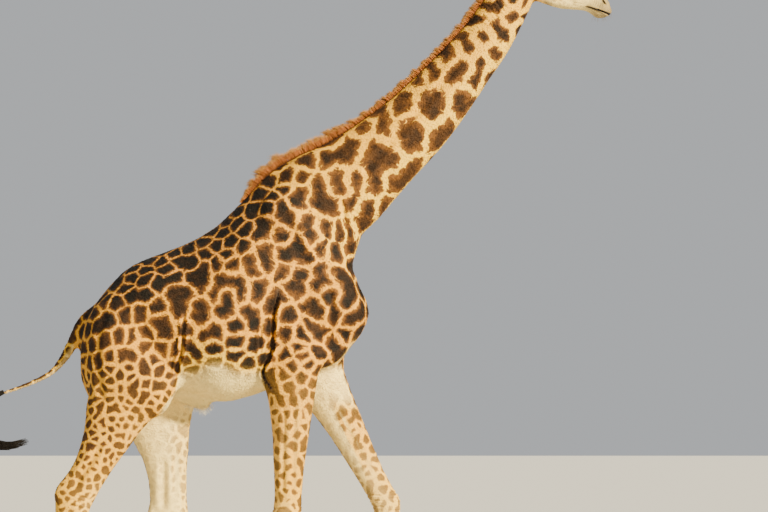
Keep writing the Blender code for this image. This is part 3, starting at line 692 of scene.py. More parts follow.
def faces_of_leg(y, side, elbow, knee, fetlock):
    """How far each point of the skin belongs to a leg, and to each of its faces."""
    across, x_way, z_way = clay.normals[:, 1] * side, clay.normals[:, 0], clay.normals[:, 2]
    # the other leg of a pair lies elsewhere in y, so its skin is left out
    whole = ramp(np.abs(clay.points[:, 1] - y), 0.16, 0.12)
    whole = whole * ramp(clay.points[:, 2], elbow[1] + 0.12, elbow[1])
    run = unit(np.array(fetlock) - np.array(knee))
    return {
        "whole": whole,
        "outer": whole * ramp(across, 0.1, 0.5),
        "inner": whole * ramp(-across, 0.1, 0.5),
        "front": whole * ramp(x_way * -run[1] + z_way * run[0], -0.1, 0.4),
        "back": whole * ramp(x_way * run[1] + z_way * -run[0], -0.1, 0.4),
    }


for name, (elbow, knee, fetlock) in JOINTS.items():
    y, side = LEG_Y[name], LEG_SIDE[name]
    faces = faces_of_leg(y, side, elbow, knee, fetlock)
    # the bump at the side of the knee or hock, and the fetlock's
    bump = (on_bone(knee, fetlock, -0.03, 0.020)[0], y, knee[1] + 0.02)
    for face in (faces["outer"], faces["inner"]):
        bone_grooves(knee, fetlock, CANNON_CORDS, face)
        clay.swell(bump, (0.030, 0.09, 0.030), 0.003, face)
        clay.swell((fetlock[0] + 0.004, y, fetlock[1] + 0.005), (0.026, 0.09, 0.030), 0.004, face)
    if name.startswith("fore"):
        model_foreleg(elbow, knee, fetlock, y, faces)
    else:
        model_hindleg(elbow, knee, side, faces)
    # two folds in the hollow of the pastern, behind and above the claws
    for drop in (0.055, 0.085):
        path = (fetlock[0] - 0.10, fetlock[1] - drop), (fetlock[0] - 0.01, fetlock[1] - drop - 0.006)
        clay.groove(path, 0.006, 0.003, 0.0015, faces["back"])
clay.write()
print("legs modelled")

# %% [markdown]
# ## The head's bones and muzzle
#
# A bull's skull carries a bony lump on the forehead, brows that shade the eyes, and a ridge that
# runs from under the eye towards the muzzle. The upper lip hangs a little over the lower one, the
# mouth's line rises at its front, and the nostrils are slanting slits that can be shut. The
# numbers are the head's own s and h, and y where a form must not show on the other side.

# %% Bones of the head
SKULL_FORMS = (
    # the hollow above and behind the eye, and the one between brow and ossicone
    ((0.165, 0.030, 0.090), (0.026, 0.022, 0.04), -0.007),
    ((0.205, 0.078, 0.055), (0.030, 0.016, 0.03), -0.004),
    # brow
    (((0.185, 0.052, 0.088), (0.225, 0.062, 0.092), (0.265, 0.052, 0.086)), 0.013, -0.006, 0.0),
    # the ridge from under the eye to the muzzle, and the hollow below it
    (((0.215, -0.028), (0.275, -0.032), (0.340, -0.038), (0.400, -0.046)), 0.013, -0.006, 0.0),
    (((0.285, -0.066), (0.345, -0.068), (0.410, -0.066), (0.470, -0.058)), 0.020, 0.007, 0.0),
    # the hollow ahead of the eye, where the face narrows
    (((0.285, 0.020), (0.340, 0.020), (0.410, 0.012)), 0.020, 0.006, 0.0),
    # front edge of the chewing muscle, the jaw's rear edge, and its lower edge
    (((0.250, -0.060), (0.262, -0.095), (0.240, -0.130)), 0.012, 0.005, 0.002),
    (((0.075, -0.050), (0.068, -0.095), (0.085, -0.140)), 0.014, 0.008, 0.003),
    (((0.140, -0.148), (0.230, -0.128), (0.330, -0.116), (0.430, -0.098)), 0.012, -0.004, 0.0),
)


def cheek_folds():
    """Folds that fan back from the corner of the mouth."""
    for fold in range(4):
        h = -0.052 - 0.007 * fold
        path = ((0.505 - 0.006 * fold, h), (0.480 - 0.004 * fold, h - 0.006), (0.452, h - 0.014))
        yield path, 0.0034, 0.0016, 0.001


for side, _ in SIDES:
    where = clay.on_side(side, 0.0) * ramp(clay.head[:, 0], -0.04, 0.02)
    clay.forms((*SKULL_FORMS, *cheek_folds()), side, where, head=True)
# the lump on the forehead
clay.swell((0.262, 0.092, 0.0), (0.052, 0.03, 0.030), 0.006, head=True)
clay.write()
print("bones of the head modelled")

# %% Muzzle
NOSTRIL = (
    (0.578, 0.020, 0.052), (0.592, 0.013, 0.054), (0.606, 0.004, 0.054),
    (0.618, -0.004, 0.051), (0.624, -0.006, 0.046),
)
MOUTH = (
    (0.520, -0.060, 0.052), (0.545, -0.056, 0.053), (0.580, -0.050, 0.052), (0.615, -0.047, 0.046),
    (0.640, -0.046, 0.034), (0.656, -0.046, 0.016), (0.660, -0.046, 0.0),
)
MUZZLE_FORMS = (
    # the mouth's line, from its corner round the front
    (MOUTH, 0.0042, 0.0085, 0.0026, 0.06),
    # fullness of the upper lip over it, and the lower lip's hollow below
    ((0.622, -0.026, 0.040), (0.030, 0.016, 0.02), 0.0035),
    ((0.655, -0.024, 0.014), (0.012, 0.012, 0.014), 0.0025),
    (((0.560, -0.076, 0.044), (0.600, -0.078, 0.040), (0.634, -0.072, 0.022)), 0.006, 0.002, 0.001),
    # nostril: a comma-shaped slit with a raised rim
    (NOSTRIL, 0.0095, -0.0035, 0.0, 0.3),
    (NOSTRIL, 0.0042, 0.0130, 0.001, 0.28),
)


def lip_wrinkles():
    """Wrinkles between nostril and mouth."""
    for fold in range(5):
        s = 0.560 + 0.013 * fold
        path = ((s - 0.012, 0.006 - 0.004 * fold), (s - 0.006, -0.014 - 0.002 * fold), (s - 0.010, -0.034))
        yield path, 0.0030, 0.0012, 0.0008


for side, _ in SIDES:
    where = ramp(clay.head[:, 2] * side, -0.012, -0.004)
    clay.forms(MUZZLE_FORMS, side, where, head=True)
    clay.forms(lip_wrinkles(), side, where * clay.on_side(side, 0.2), head=True)
# the furrow down the middle of the upper lip, and a full chin
furrow = ((0.640, 0.004, 0.0), (0.660, -0.018, 0.0), (0.668, -0.040, 0.0))
clay.groove(furrow, 0.004, 0.0022, 0.001, head=True)
clay.swell((0.600, -0.086, 0.0), (0.030, 0.014, 0.024), 0.004, head=True)
clay.write()
print("muzzle modelled")

# %% [markdown]
# ## Lids
#
# The eyeball is its own piece, so the skin needs an opening with lids that lie on the ball. Every
# point near an eye is given two angles seen from the middle of the ball. An almond drawn in those
# angles parts the opening from the lids: points inside it sink behind the ball, and points just
# outside are lifted to the ball's radius and a lid's thickness more. A crease follows the almond a
# little way out, where a real lid folds.

# %% Lids
LID = 0.0026
ALMOND_LONG, ALMOND_UP, ALMOND_DOWN = 1.04, 0.56, 0.50  # half sizes, in radians
EYE_TILT = math.radians(12)  # the front corner lies lower
SUNK = EYE_RADIUS * 0.86  # how far from the ball's middle the skin behind it lies


def eye_frame(side):
    """The middle of an eyeball, and its outward, forward and upward ways."""
    out = head_direction(0.20, 0.06, 1.0 * side)
    ahead = unit(ALONG - out * (ALONG @ out))
    above = np.cross(ahead, out) if side < 0 else np.cross(out, ahead)
    if above @ ABOVE < 0:
        above = -above
    cos, sin = math.cos(EYE_TILT), math.sin(EYE_TILT)
    return eye_point(side), out, ahead * cos - above * sin, above * cos + ahead * sin


def almond_arch(share):
    """The opening's height, as a share of its greatest, at a share of its half length."""
    return np.sqrt(np.maximum(1 - share**2, 0)) * (1 - 0.25 * share)


def outside_almond(long, high):
    """How far outside the opening a pair of angles lies, in radians; below 0 is inside."""
    share = np.clip(np.abs(long) / ALMOND_LONG, 0, 1)
    upper = ALMOND_UP * almond_arch(share) - 0.04 * share
    lower = ALMOND_DOWN * almond_arch(share) + 0.04 * share
    over = np.where(high > 0, high - upper, -high - lower)
    beyond = np.hypot(np.maximum(np.abs(long) - ALMOND_LONG, 0), np.maximum(over, 0))
    return np.where(np.abs(long) > ALMOND_LONG, beyond, over)


def model_lids(side):
    middle, out, ahead, above = eye_frame(side)
    rel = clay.points - middle
    radius = np.linalg.norm(rel, axis=1)
    near = np.flatnonzero((radius < 2.1 * EYE_RADIUS) & (rel @ out > -0.2 * EYE_RADIUS))
    radius = radius[near]
    way = rel[near] / radius[:, None]
    long = np.arctan2(way @ ahead, way @ out)
    high = np.arcsin(np.clip(way @ above, -1, 1))
    outside = outside_almond(long, high) * EYE_RADIUS
    lid = EYE_RADIUS + LID
    # a lid hugs the ball near its rim and runs out into the face
    hug = ramp(outside, 0.020, 0.004)
    wanted = np.where(radius < lid, lid, radius + (lid - radius) * hug)
    wanted += -0.0019 * np.exp(-(((outside - 0.0075) / 0.0018) ** 2)) * (outside > 0)
    wanted += 0.0006 * np.exp(-(((outside - 0.0035) / 0.0020) ** 2)) * (outside > 0)
    wanted = wanted + (SUNK - wanted) * ramp(outside, 0.0006, -0.0018)
    clay.points[near] = middle + way * wanted[:, None]


for side, _ in SIDES:
    model_lids(side)
clay.write()
print("lids modelled")

# %% [markdown]
# ## From clay to skin
#
# The clay has far more points than its shape needs. Collapsing it edge by edge keeps points where
# the surface bends and drops them where it is flat, which suits an animal better than an even
# grid. The skin then moves inwards by the depth of the coat: the solids reach to the tips of the
# hair, and the tufts added later fill that depth again.

# %% From clay to skin
SKIN_TRIANGLES = 186_000
COAT_DEPTH, FACE_DEPTH, FOOT_DEPTH = 0.0045, 0.0016, 0.0025


def coat_depth(points):
    """How thick the coat is: thinner down the legs and on the face."""
    face, foot = head_share(points), ramp(points[:, 2], 1.6, 0.9)
    return COAT_DEPTH + (FACE_DEPTH - COAT_DEPTH) * face + (FOOT_DEPTH - COAT_DEPTH) * foot


with_modifier(skin, "DECIMATE", ratio=SKIN_TRIANGLES / triangle_count(skin))
with_modifier(skin, "TRIANGULATE")
points, normals = get_points(skin.data), get_normals(skin.data)
set_points(skin.data, points - normals * coat_depth(points)[:, None])
skin.data.shade_smooth()
print("skin of", len(skin.data.polygons), "triangles")

# %% [markdown]
# ## Ears
#
# A giraffe's ear is a long leaf of gristle, rolled into a tube at its root and open to the front
# further out. It starts here as a flat grid, is rolled up row by row, and is given its thickness by
# solidify. The finished leaf is then joined to the skin with a boolean, and the crease where they
# meet is smoothed away, so that the ear grows out of the head without a seam.

# %% A rolled leaf
EAR_LENGTH = 0.205
EAR_WALL = 0.0040
EAR_SUNK, EAR_WHOLE = 0.14, 1.14  # in ear lengths: what is sunk in the head, and the whole leaf
# Along the ear, half its width, and how far round it is rolled (in degrees, to each side)
EAR_ROLL = np.array((
    (-0.14, 0.022, 150), (0.06, 0.025, 140), (0.18, 0.034, 112), (0.34, 0.043, 84),
    (0.52, 0.044, 66), (0.70, 0.037, 54), (0.85, 0.025, 46), (0.95, 0.012, 40), (1.00, 0.003, 34),
))


def ear_frame(side):
    """The ear's root, and its own ways: to the tip, to the opening and across."""
    axis = head_direction(-0.25, 0.30, 0.92 * side)
    facing = head_direction(0.90, -0.10, 0.42 * side)
    facing = unit(facing - axis * (facing @ axis))
    return head_point(0.045, -0.005, 0.078 * side), axis, facing, np.cross(axis, facing)


def make_ear(side):
    root, axis, facing, across = ear_frame(side)
    bm = bmesh.new()
    bmesh.ops.create_grid(bm, x_segments=26, y_segments=44, size=1.0)
    for vertex in bm.verts:
        t, share = vertex.co.x, (vertex.co.y + 1) / 2 * EAR_WHOLE - EAR_SUNK
        half = np.interp(share, EAR_ROLL[:, 0], EAR_ROLL[:, 1])
        roll = math.radians(np.interp(share, EAR_ROLL[:, 0], EAR_ROLL[:, 2]))
        radius = half if roll > math.pi / 2 else half / math.sin(roll)
        out = radius * math.sin(roll * t)
        deep = radius * (math.cos(roll * t) - math.cos(roll))
        deep += 0.035 * max(share, 0) ** 2
        # a slow wave along the rim, and a shallow rib down the middle
        deep += 0.0018 * math.sin(share * 21 + t) * abs(t) ** 3
        deep -= 0.0022 * math.exp(-((t / 0.16) ** 2)) * ramp(share, 0.1, 0.4)
        vertex.co = root + axis * (EAR_LENGTH * share) - facing * deep + across * out
    bmesh.ops.recalc_face_normals(bm, faces=bm.faces)
    bmesh.ops.solidify(bm, geom=bm.faces[:], thickness=EAR_WALL)
    bmesh.ops.remove_doubles(bm, verts=bm.verts, dist=2e-4)
    bmesh.ops.triangulate(bm, faces=bm.faces)
    bmesh.ops.recalc_face_normals(bm, faces=bm.faces)
    return with_modifier(object_from(bm, "ear"), "SMOOTH", factor=0.5, iterations=3)


def on_ear(points):
    """How far each point lies out along its ear, 0 at the root and 1 at the tip, or below 0."""
    share = np.full(len(points), -1.0)
    for side, _ in SIDES:
        root, axis, facing, across = ear_frame(side)
        away = points - root
        along = away @ axis / EAR_LENGTH
        near = (np.abs(away @ across) < 0.055) & (np.abs(away @ facing) < 0.085)
        mine = near & (along > -0.2) & (along < 1.1) & (points[:, 1] * side > 0)
        share[mine] = along[mine]
    return share


print("ears of", EAR_LENGTH, "m")

# %% Ears joined to the skin
CREASE_NEAR, CREASE_FAR = 0.034, 0.050  # the crease is smoothed this far from the ear's root


def in_order(thing):
    """Puts points and triangles in a set order, as the boolean leaves them in another each time."""
    old, name = thing.data, thing.name
    corners = np.empty(len(old.loops), np.int32)
    old.loops.foreach_get("vertex_index", corners)
    points = get_points(old).round(6)
    order = np.lexsort(points.T)
    rank = np.empty(len(order), int)
    rank[order] = np.arange(len(order))
    triangles = rank[corners.reshape(-1, 3)]
    turn = (triangles.argmin(1)[:, None] + np.arange(3)) % 3
    triangles = np.take_along_axis(triangles, turn, axis=1)
    triangles = triangles[np.lexsort(triangles.T[::-1])]
    fresh = mesh_of("ordered", points[order], triangles)
    thing.data = fresh.data
    bpy.data.objects.remove(fresh)
    bpy.data.meshes.remove(old)
    thing.data.name = name


def join_ears():
    for side, _ in SIDES:
        ear = make_ear(side)
        with_modifier(skin, "BOOLEAN", object=ear, operation="UNION", solver="MANIFOLD")
        bpy.data.objects.remove(ear)
    with_modifier(skin, "TRIANGULATE")
    in_order(skin)


def smooth_ear_crease():
    points = get_points(skin.data)
    share = on_ear(points)
    near = np.zeros(len(points))
    for side, _ in SIDES:
        root, axis, _, _ = ear_frame(side)
        away = np.linalg.norm(points - root - axis * 0.008, axis=1)
        near = np.maximum(near, ramp(away, CREASE_FAR, CREASE_NEAR))
    crease = np.where(share > -0.2, ramp(share, 0.26, 0.10), 0.0)
    weights = weigh(skin, "crease", crease * near)
    with_modifier(skin, "SMOOTH", factor=0.5, iterations=5, vertex_group=weights)
    skin.vertex_groups.clear()
    skin.data.shade_smooth()


join_ears()
smooth_ear_crease()
print("skin and ears of", len(skin.data.polygons), "triangles")

# %% [markdown]
# ## Where the patches lie
#
# A giraffe's patches grow from centres until they nearly meet, which leaves a net of pale lines.
# That is a Voronoi pattern, but its cells differ over the body: small, dark and close on the back,
# large and wide apart on the neck, small again down the legs, faint on the belly and inside the
# legs. A Voronoi texture has one scale for all, so the centres are placed here one by one and by
# rule, and each face of the skin carries the six centres nearest to it. The material can then
# work out the exact line between two patches at any point of a face, and each tuft of hair, which
# carries the six nearest to its root, comes out in the same colour as the skin under it.
#
# The rules are smooth fields over the body: how far apart the centres are, half the width of the
# pale line, how dark a patch grows inside, how far it fades out, how creamy the ground is, and
# how bare the skin is, which also holds painted shade along the deepest folds. They are written in a
# few shared measures, such as how far a point belongs to the neck or a leg.

# %% Measures of the body
NECK_BASE, NECK_TOP = np.array((0.16, 2.79)), np.array((1.20, 3.95))
NECK_ROOT, NECK_WAY = (-0.16, 2.929), (0.763, 0.647)  # where the neck leaves the withers
TAIL_PLACE = (-1.19, 1.70)  # the tail lies behind this x and above this z
BETWEEN_LEGS = -0.35
BACK_LINE = ((-1.16, -0.85, -0.40, -0.10, 0.10), (2.09, 2.47, 2.69, 2.96, 2.96))
RIPPLE_WAYS = unit(rng.normal(size=(5, 3))) * np.array((7.0, 11.0, 16.0, 23.0, 31.0))[:, None]


def ripple(points):
    """A smooth, uneven wave over the body, about -1 to 1."""
    waves = np.sin(points @ RIPPLE_WAYS.T + np.arange(5))
    return (waves * np.array((0.9, 0.8, 0.6, 0.5, 0.4))).sum(1) / 1.7


def past_neck_root(points):
    """How far ahead of the withers' end of the neck each point lies."""
    x, _, z = points.T
    return (x - NECK_ROOT[0]) * NECK_WAY[0] + (z - NECK_ROOT[1]) * NECK_WAY[1]


def on_tail(points):
    return (points[:, 0] < TAIL_PLACE[0]) & (points[:, 2] > TAIL_PLACE[1])


def on_eye(points, far, near):
    """1 within near of an eye's middle and 0 beyond far, as shares of the eye's radius."""
    share = np.zeros(len(points))
    for side, _ in SIDES:
        away = np.linalg.norm(points - eye_point(side), axis=1)
        share = np.maximum(share, ramp(away, EYE_RADIUS * far, EYE_RADIUS * near))
    return share


def beside_line(points, line):
    """How far each point lies from a line drawn in x and z."""
    line, best = np.array(line), np.full(len(points), 9.0)
    flat = points[:, [0, 2]]
    for start, end in zip(line[:-1], line[1:]):
        run = end - start
        share = np.clip((flat - start) @ run / (run @ run), 0, 1)[:, None]
        best = np.minimum(best, np.linalg.norm(flat - start - share * run, axis=1))
    return best


class Places:
    """Points of the coat, with the measures that its rules are written in."""

    def __init__(self, points, normals):
        self.points, self.normals = points, normals
        x, _, z = points.T
        self.s, self.h, _ = to_head(points).T
        self.head = head_share(points)
        self.neck = ramp(past_neck_root(points), -0.10, 0.16) * (z > 2.0) * (1 - self.head)
        flat, run = points[:, [0, 2]] - NECK_BASE, NECK_TOP - NECK_BASE
        self.up_neck = np.clip((flat @ run) / (run @ run), -0.2, 1.1)
        self.below_neck = flat @ unit(np.array((run[1], -run[0])))
        self.tail = on_tail(points)
        self.leg = ramp(z, 2.02, 1.78) * (1 - self.tail)
        self.hind = self.leg * ramp(x, -0.45, -0.55)
        self.rump = ramp(x, -0.55, -0.85)
        # how near the ridge of the back, from rump to withers
        near_ridge = ramp(z - np.interp(x, *BACK_LINE), -0.36, -0.14)
        self.back = near_ridge * (1 - ramp(x, -0.02, 0.12)) * (0.45 + 0.55 * ramp(x, -1.08, -0.86))
        self.wave = ripple(points)


print("ripples run in", len(RIPPLE_WAYS), "ways")

# %% Spacing, lines and darkness


def spacing_of(at):
    """How far apart the patches' centres are."""
    z = at.points[:, 2]
    trunk = np.interp(z, (1.95, 2.10, 2.35), (0.105, 0.125, 0.158)) - 0.020 * at.rump
    heights = (0.2, 0.9, 1.35, 1.65, 1.90, 2.05)
    fore = np.interp(z, heights, (0.034, 0.042, 0.050, 0.058, 0.076, 0.11))
    heights = (0.2, 0.9, 1.30, 1.60, 1.92, 2.05)
    hind = np.interp(z, heights, (0.032, 0.034, 0.036, 0.042, 0.054, 0.10))
    neck = np.interp(at.up_neck, (0.0, 0.25, 0.6, 0.85, 1.0), (0.175, 0.215, 0.190, 0.125, 0.075))
    neck = neck - 0.05 * ramp(at.below_neck, -0.05, -0.20)
    head = np.interp(at.s, (0.0, 0.15, 0.35, 0.6), (0.044, 0.033, 0.025, 0.019))
    spacing = fade_to(trunk, 0.092, at.back)
    spacing = fade_to(spacing, fore + (hind - fore) * (at.hind > 0), at.leg)
    spacing = fade_to(fade_to(spacing, neck, at.neck), head, at.head)
    return np.where(at.tail, 0.036, spacing)


def gap_of(at):
    """Half the width of the pale line."""
    z = at.points[:, 2]
    leg = np.interp(z, (0.3, 1.2, 1.6, 1.9), (0.0074, 0.0090, 0.0100, 0.0086))
    leg = leg - 0.0018 * (at.hind > 0) * (z > 1.0)
    neck = np.interp(at.up_neck, (0.0, 0.3, 0.8, 1.0), (0.0090, 0.0165, 0.0165, 0.0085))
    gap = fade_to(fade_to(0.0080 - 0.0050 * at.back, leg, at.leg), neck, at.neck)
    gap = gap + 0.008 * at.neck * ramp(at.below_neck, 0.02, 0.12) * ramp(at.up_neck, 0.75, 0.90)
    return np.where(at.tail, 0.0042, fade_to(gap, 0.0040, at.head))


def dark_of(at):
    """How dark a patch grows inside."""
    dark = 0.84 + 0.16 * at.back - 0.30 * at.rump * (1 - at.back)
    leg = np.interp(at.points[:, 2], (0.3, 1.2, 1.6, 1.95), (0.16, 0.20, 0.36, 0.62))
    neck = np.interp(at.up_neck, (0.0, 0.3, 1.0), (0.76, 0.50, 0.62))
    dark = np.where(at.tail, 0.45, fade_to(dark, leg, at.leg))
    return fade_to(fade_to(dark, neck, at.neck), 0.42, at.head)


# %% Where the coat pales
THIGH_EDGE = ((1.60, 1.68, 1.76, 1.87, 1.95, 2.20), (-0.74, -0.69, -0.633, -0.605, -0.594, -0.58))


def past_thigh(at):
    """How far ahead of the thigh's front edge each point lies."""
    return at.points[:, 0] - np.interp(at.points[:, 2], *THIGH_EDGE)


def inside_legs(at):
    """The pale inner faces of the legs, which the spots round their front edges cut into."""
    x, y, z = at.points.T
    hind, wave, ahead = x < BETWEEN_LEGS, at.wave, at.normals[:, 0]
    inward = -at.normals[:, 1] * np.sign(y) + 0.10 * wave
    inside = ramp(inward, 0.10, 0.55) * ramp(z, 2.00, 1.85) * (1 - at.tail)
    # spots run a little way round the front of each leg, and down there on to its inner face
    round_front = ramp(ahead + 0.15 * wave - 0.30 * hind, -0.15, 0.35) * ramp(z, 1.74, 1.52)
    low_down = ramp(z + 0.05 * wave, 1.52, 1.20)
    inside = inside * (1 - round_front * (0.60 - 0.20 * hind))
    inside = inside * (1 - 0.45 * low_down * (x > BETWEEN_LEGS))
    left_front = (y > 0) * (x > BETWEEN_LEGS) * ramp(ahead + 0.12 * wave, -0.25, 0.15)
    return inside * (1 - 0.75 * left_front * ramp(z, 1.78, 1.60))


def pale_places(at):
    """The inner sides of the legs, the belly, the breast and the sheath."""
    x, y, z = at.points.T
    belly = ramp(z + 0.045 * at.wave, 1.970, 1.815) * ramp(z, 1.60, 1.66)
    belly = belly * ramp(past_thigh(at), -0.010, 0.020)
    belly = belly * np.where(y < 0, ramp(x, -0.125, -0.165), ramp(x, -0.06, -0.15))
    breast = ramp(z, 2.10, 1.95) * ramp(np.abs(y), 0.11, 0.05) * ramp(z, 1.6, 1.7) * ramp(x, -0.3, -0.1)
    sheath = ramp(z, 1.80, 1.74) * ramp(np.abs(y), 0.09, 0.06) * (x > -0.80) * (x < -0.40) * (z > 1.60)
    return inside_legs(at), belly, breast, sheath


def fade_of(at, inside, belly, breast, sheath):
    """How far the patches fade out."""
    z, ahead, fore = at.points[:, 2], at.normals[:, 0], 1 - at.hind
    face = at.head * np.maximum(ramp(at.s, 0.22, 0.48), ramp(at.h, -0.06, -0.12))
    fade = np.maximum.reduce([0.88 * inside, 0.97 * belly, 0.88 * breast, sheath])
    fade = np.maximum.reduce([fade, 0.93 * face, 0.10 * at.head])
    heights = (0.3, 1.0, 1.35, 1.65, 1.95)
    hind_paling = np.interp(z, heights, (0.54, 0.30, 0.20, 0.10, 0.0))
    fore_paling = np.interp(z, heights, (0.58, 0.46, 0.42, 0.32, 0.12))
    paling = np.where(at.hind > 0, hind_paling, fore_paling) + 0.10 * at.leg * at.wave
    paling = paling + at.hind * 0.12 * ramp(ahead, 0.0, 0.6) - 0.10 * fore * ramp(ahead, 0.0, 0.5)
    fade = np.maximum(fade, at.leg * np.clip(paling, 0, 1))
    # the tail is blotched along its upper edge and plain below
    below = ramp(at.normals[:, 2] - ahead + 0.35 * at.wave, 0.60, -0.30)
    return np.where(at.tail, 0.60 * below, fade)


def cream_of(at, inside, belly, breast, sheath):
    """How creamy the ground between the patches is."""
    x, _, z = at.points.T
    throat = at.neck * ramp(at.below_neck, 0.02, 0.20)
    low_flank = 0.75 * ramp(z + 0.03 * at.wave, 2.12, 1.92) * ramp(x, -0.11, -0.14)
    low_flank = low_flank * (past_thigh(at) > 0) * (1 - at.tail)
    cream = np.maximum.reduce([
        inside, belly, breast, sheath, 0.85 * throat, 0.35 * at.neck, 0.75 * at.head, low_flank,
        at.leg * np.interp(z, (0.3, 1.2, 1.7), (0.62, 0.38, 0.14)),
    ])
    return np.where(at.tail, 0.55, cream)


# %% Bare skin, painted fold shade and ears


def bare_of(at):
    """Dark lips, nostrils and lids, and painted shade in the deep folds; values above 0.8 are the darkest.
    """
    s, h = at.s, at.h
    y, z = at.points[:, 1], at.points[:, 2]
    mouth = np.abs(h + 0.047 - 0.10 * (s - 0.60)) + np.maximum(0.525 - s, 0) * 2
    mouth = mouth + 0.4 * np.maximum(0.60 - s, 0) * 0.1
    nostril = np.hypot((s - 0.600) * 0.6, h - 0.008 + 0.6 * (s - 0.600))
    lips = at.head * np.maximum.reduce([
        0.80 * ramp(s + 0.25 * np.abs(h + 0.046), 0.628, 0.662),
        ramp(mouth, 0.014, 0.004),
        0.95 * ramp(nostril, 0.016, 0.006) * ramp(np.abs(y), 0.030, 0.036),
    ])
    # painted shade: the skin along the deep folds behind the arm and before the thigh is darkened, where
    # shadow falls in them
    painted_fold_shade = np.maximum(
        ramp(beside_line(at.points, ARM_FOLD), 0.0105, 0.0045) * ramp(z, 2.36, 2.28),
        0.7 * ramp(beside_line(at.points, THIGH_FOLD), 0.0085, 0.0030) * ramp(z, 2.22, 2.10),
    )
    painted_fold_shade = painted_fold_shade * ramp(np.abs(y), 0.10, 0.14) * np.where(y > 0, ramp(z, 1.98, 2.10), 1.0)
    muzzle = 0.70 * at.head * ramp(s, 0.49, 0.63)
    return np.maximum.reduce([muzzle, lips, on_eye(at.points, 1.60, 1.14), painted_fold_shade])


def ear_hollow(at, ear):
    """1 where an ear's skin looks the way the ear opens."""
    hollow = np.zeros(len(ear))
    for side, _ in SIDES:
        _, _, facing, _ = ear_frame(side)
        mine = (ear > -0.2) & (at.points[:, 1] * side > 0)
        hollow[mine] = ramp((at.normals @ facing)[mine], -0.05, 0.35)
    return hollow


RULE_NAMES = ("spacing", "gap", "dark", "fade", "cream", "bare")


def coat_fields(points, normals):
    """The coat's rules at each point, by their names."""
    at = Places(points, normals)
    pale = pale_places(at)
    fade, cream, bare = fade_of(at, *pale), cream_of(at, *pale), bare_of(at)
    ear = on_ear(points)
    hollow, out, beyond_root = ear_hollow(at, ear), ramp(ear, 0.06, 0.20), ear > 0.06
    ear_fade = np.maximum(fade * (1 - out), out * (0.75 + 0.25 * hollow))
    fade = np.where(beyond_root, ear_fade, fade)
    cream = np.where(beyond_root, fade_to(cream, 0.45 + 0.55 * hollow, out), cream)
    bare = np.where(beyond_root, out * (1 - hollow) * 0.75 * ramp(ear, 0.45, 1.0), bare)
    shares = (np.clip(share, 0, 1) for share in (dark_of(at), fade, cream, bare))
    return dict(zip(RULE_NAMES, (spacing_of(at), gap_of(at), *shares)))


print("rules of the coat:", ", ".join(RULE_NAMES))

# %% [markdown]
# ## Patches given one by one
#
# A chance net looks like a giraffe, but not like this bull, whose great lobed patches on the neck
# and the arch on his flank are as much his own as a face. Those are listed one by one, as a model
# maker would chalk them on the clay. Each row is one patch: the x and z of a middle, or of two to
# four middles for a patch that has lobes. The other side has the same patches, shifted and bent a
# little, because no giraffe has the same coat on both sides.

# %% Patches given one by one
NECK_PATCHES = (
    (1.07, 3.87, 1.14, 3.87), (1.22, 3.91), (0.98, 3.78, 1.03, 3.81), (1.13, 3.76, 1.165, 3.71),
    (0.95, 3.71, 0.975, 3.64), (1.05, 3.70), (1.12, 3.615), (0.87, 3.61), (1.045, 3.56, 1.02, 3.48),
    (1.085, 3.48), (0.94, 3.54, 0.885, 3.48), (0.78, 3.50), (0.70, 3.46), (0.925, 3.36, 0.96, 3.30),
    (0.72, 3.37, 0.81, 3.37, 0.77, 3.28), (0.64, 3.37, 0.60, 3.32), (0.63, 3.19, 0.70, 3.18, 0.655, 3.12),
    (0.85, 3.19, 0.80, 3.14), (0.79, 3.06), (0.49, 3.29, 0.51, 3.21), (0.40, 3.20),
    (0.46, 3.09, 0.54, 3.03, 0.45, 2.98, 0.46, 2.88), (0.66, 2.97, 0.57, 2.89), (0.355, 2.90, 0.33, 2.78),
    (0.20, 3.02, 0.29, 3.05, 0.33, 3.10), (0.42, 2.75, 0.375, 2.68), (0.52, 2.78), (0.245, 2.925,
     0.285, 2.87),
)
SHOULDER_PATCHES = (
    (0.00, 3.03, 0.06, 3.06), (0.10, 3.01), (-0.03, 2.925), (0.075, 2.935), (0.055, 2.835, 0.03, 2.79),
    (-0.04, 2.86), (0.15, 2.89, 0.155, 2.82, 0.22, 2.77), (-0.045, 2.76, 0.00, 2.705), (0.08, 2.68,
     0.11, 2.60),
    (-0.05, 2.60), (0.20, 2.64, 0.165, 2.53), (0.265, 2.63, 0.235, 2.51), (0.325, 2.65, 0.335, 2.55),
    (-0.145, 2.52, -0.125, 2.44), (-0.03, 2.51, 0.045, 2.55, 0.085, 2.48), (-0.05, 2.40),
    (0.16, 2.42, 0.20, 2.37, 0.14, 2.33), (0.255, 2.39, 0.31, 2.33, 0.31, 2.25), (0.33, 2.44),
    (0.06, 2.39, -0.005, 2.33, 0.06, 2.30), (-0.06, 2.27, -0.11, 2.22), (0.11, 2.24, 0.15, 2.18),
    (0.22, 2.28, 0.24, 2.17), (-0.02, 2.17), (0.32, 2.14, 0.375, 2.18), (0.385, 2.31), (0.12, 2.11,
     0.17, 2.07),
    (-0.12, 2.10), (-0.03, 2.07), (0.06, 2.06), (0.29, 2.07), (0.235, 2.03, 0.26, 1.95), (-0.18, 2.02),
    (0.04, 1.995), (-0.02, 1.955), (0.06, 1.945), (0.155, 1.965), (0.19, 1.90), (0.01, 1.90),
     (0.10, 1.895),
    (-0.04, 1.84), (0.07, 1.83), (0.14, 1.86),
)
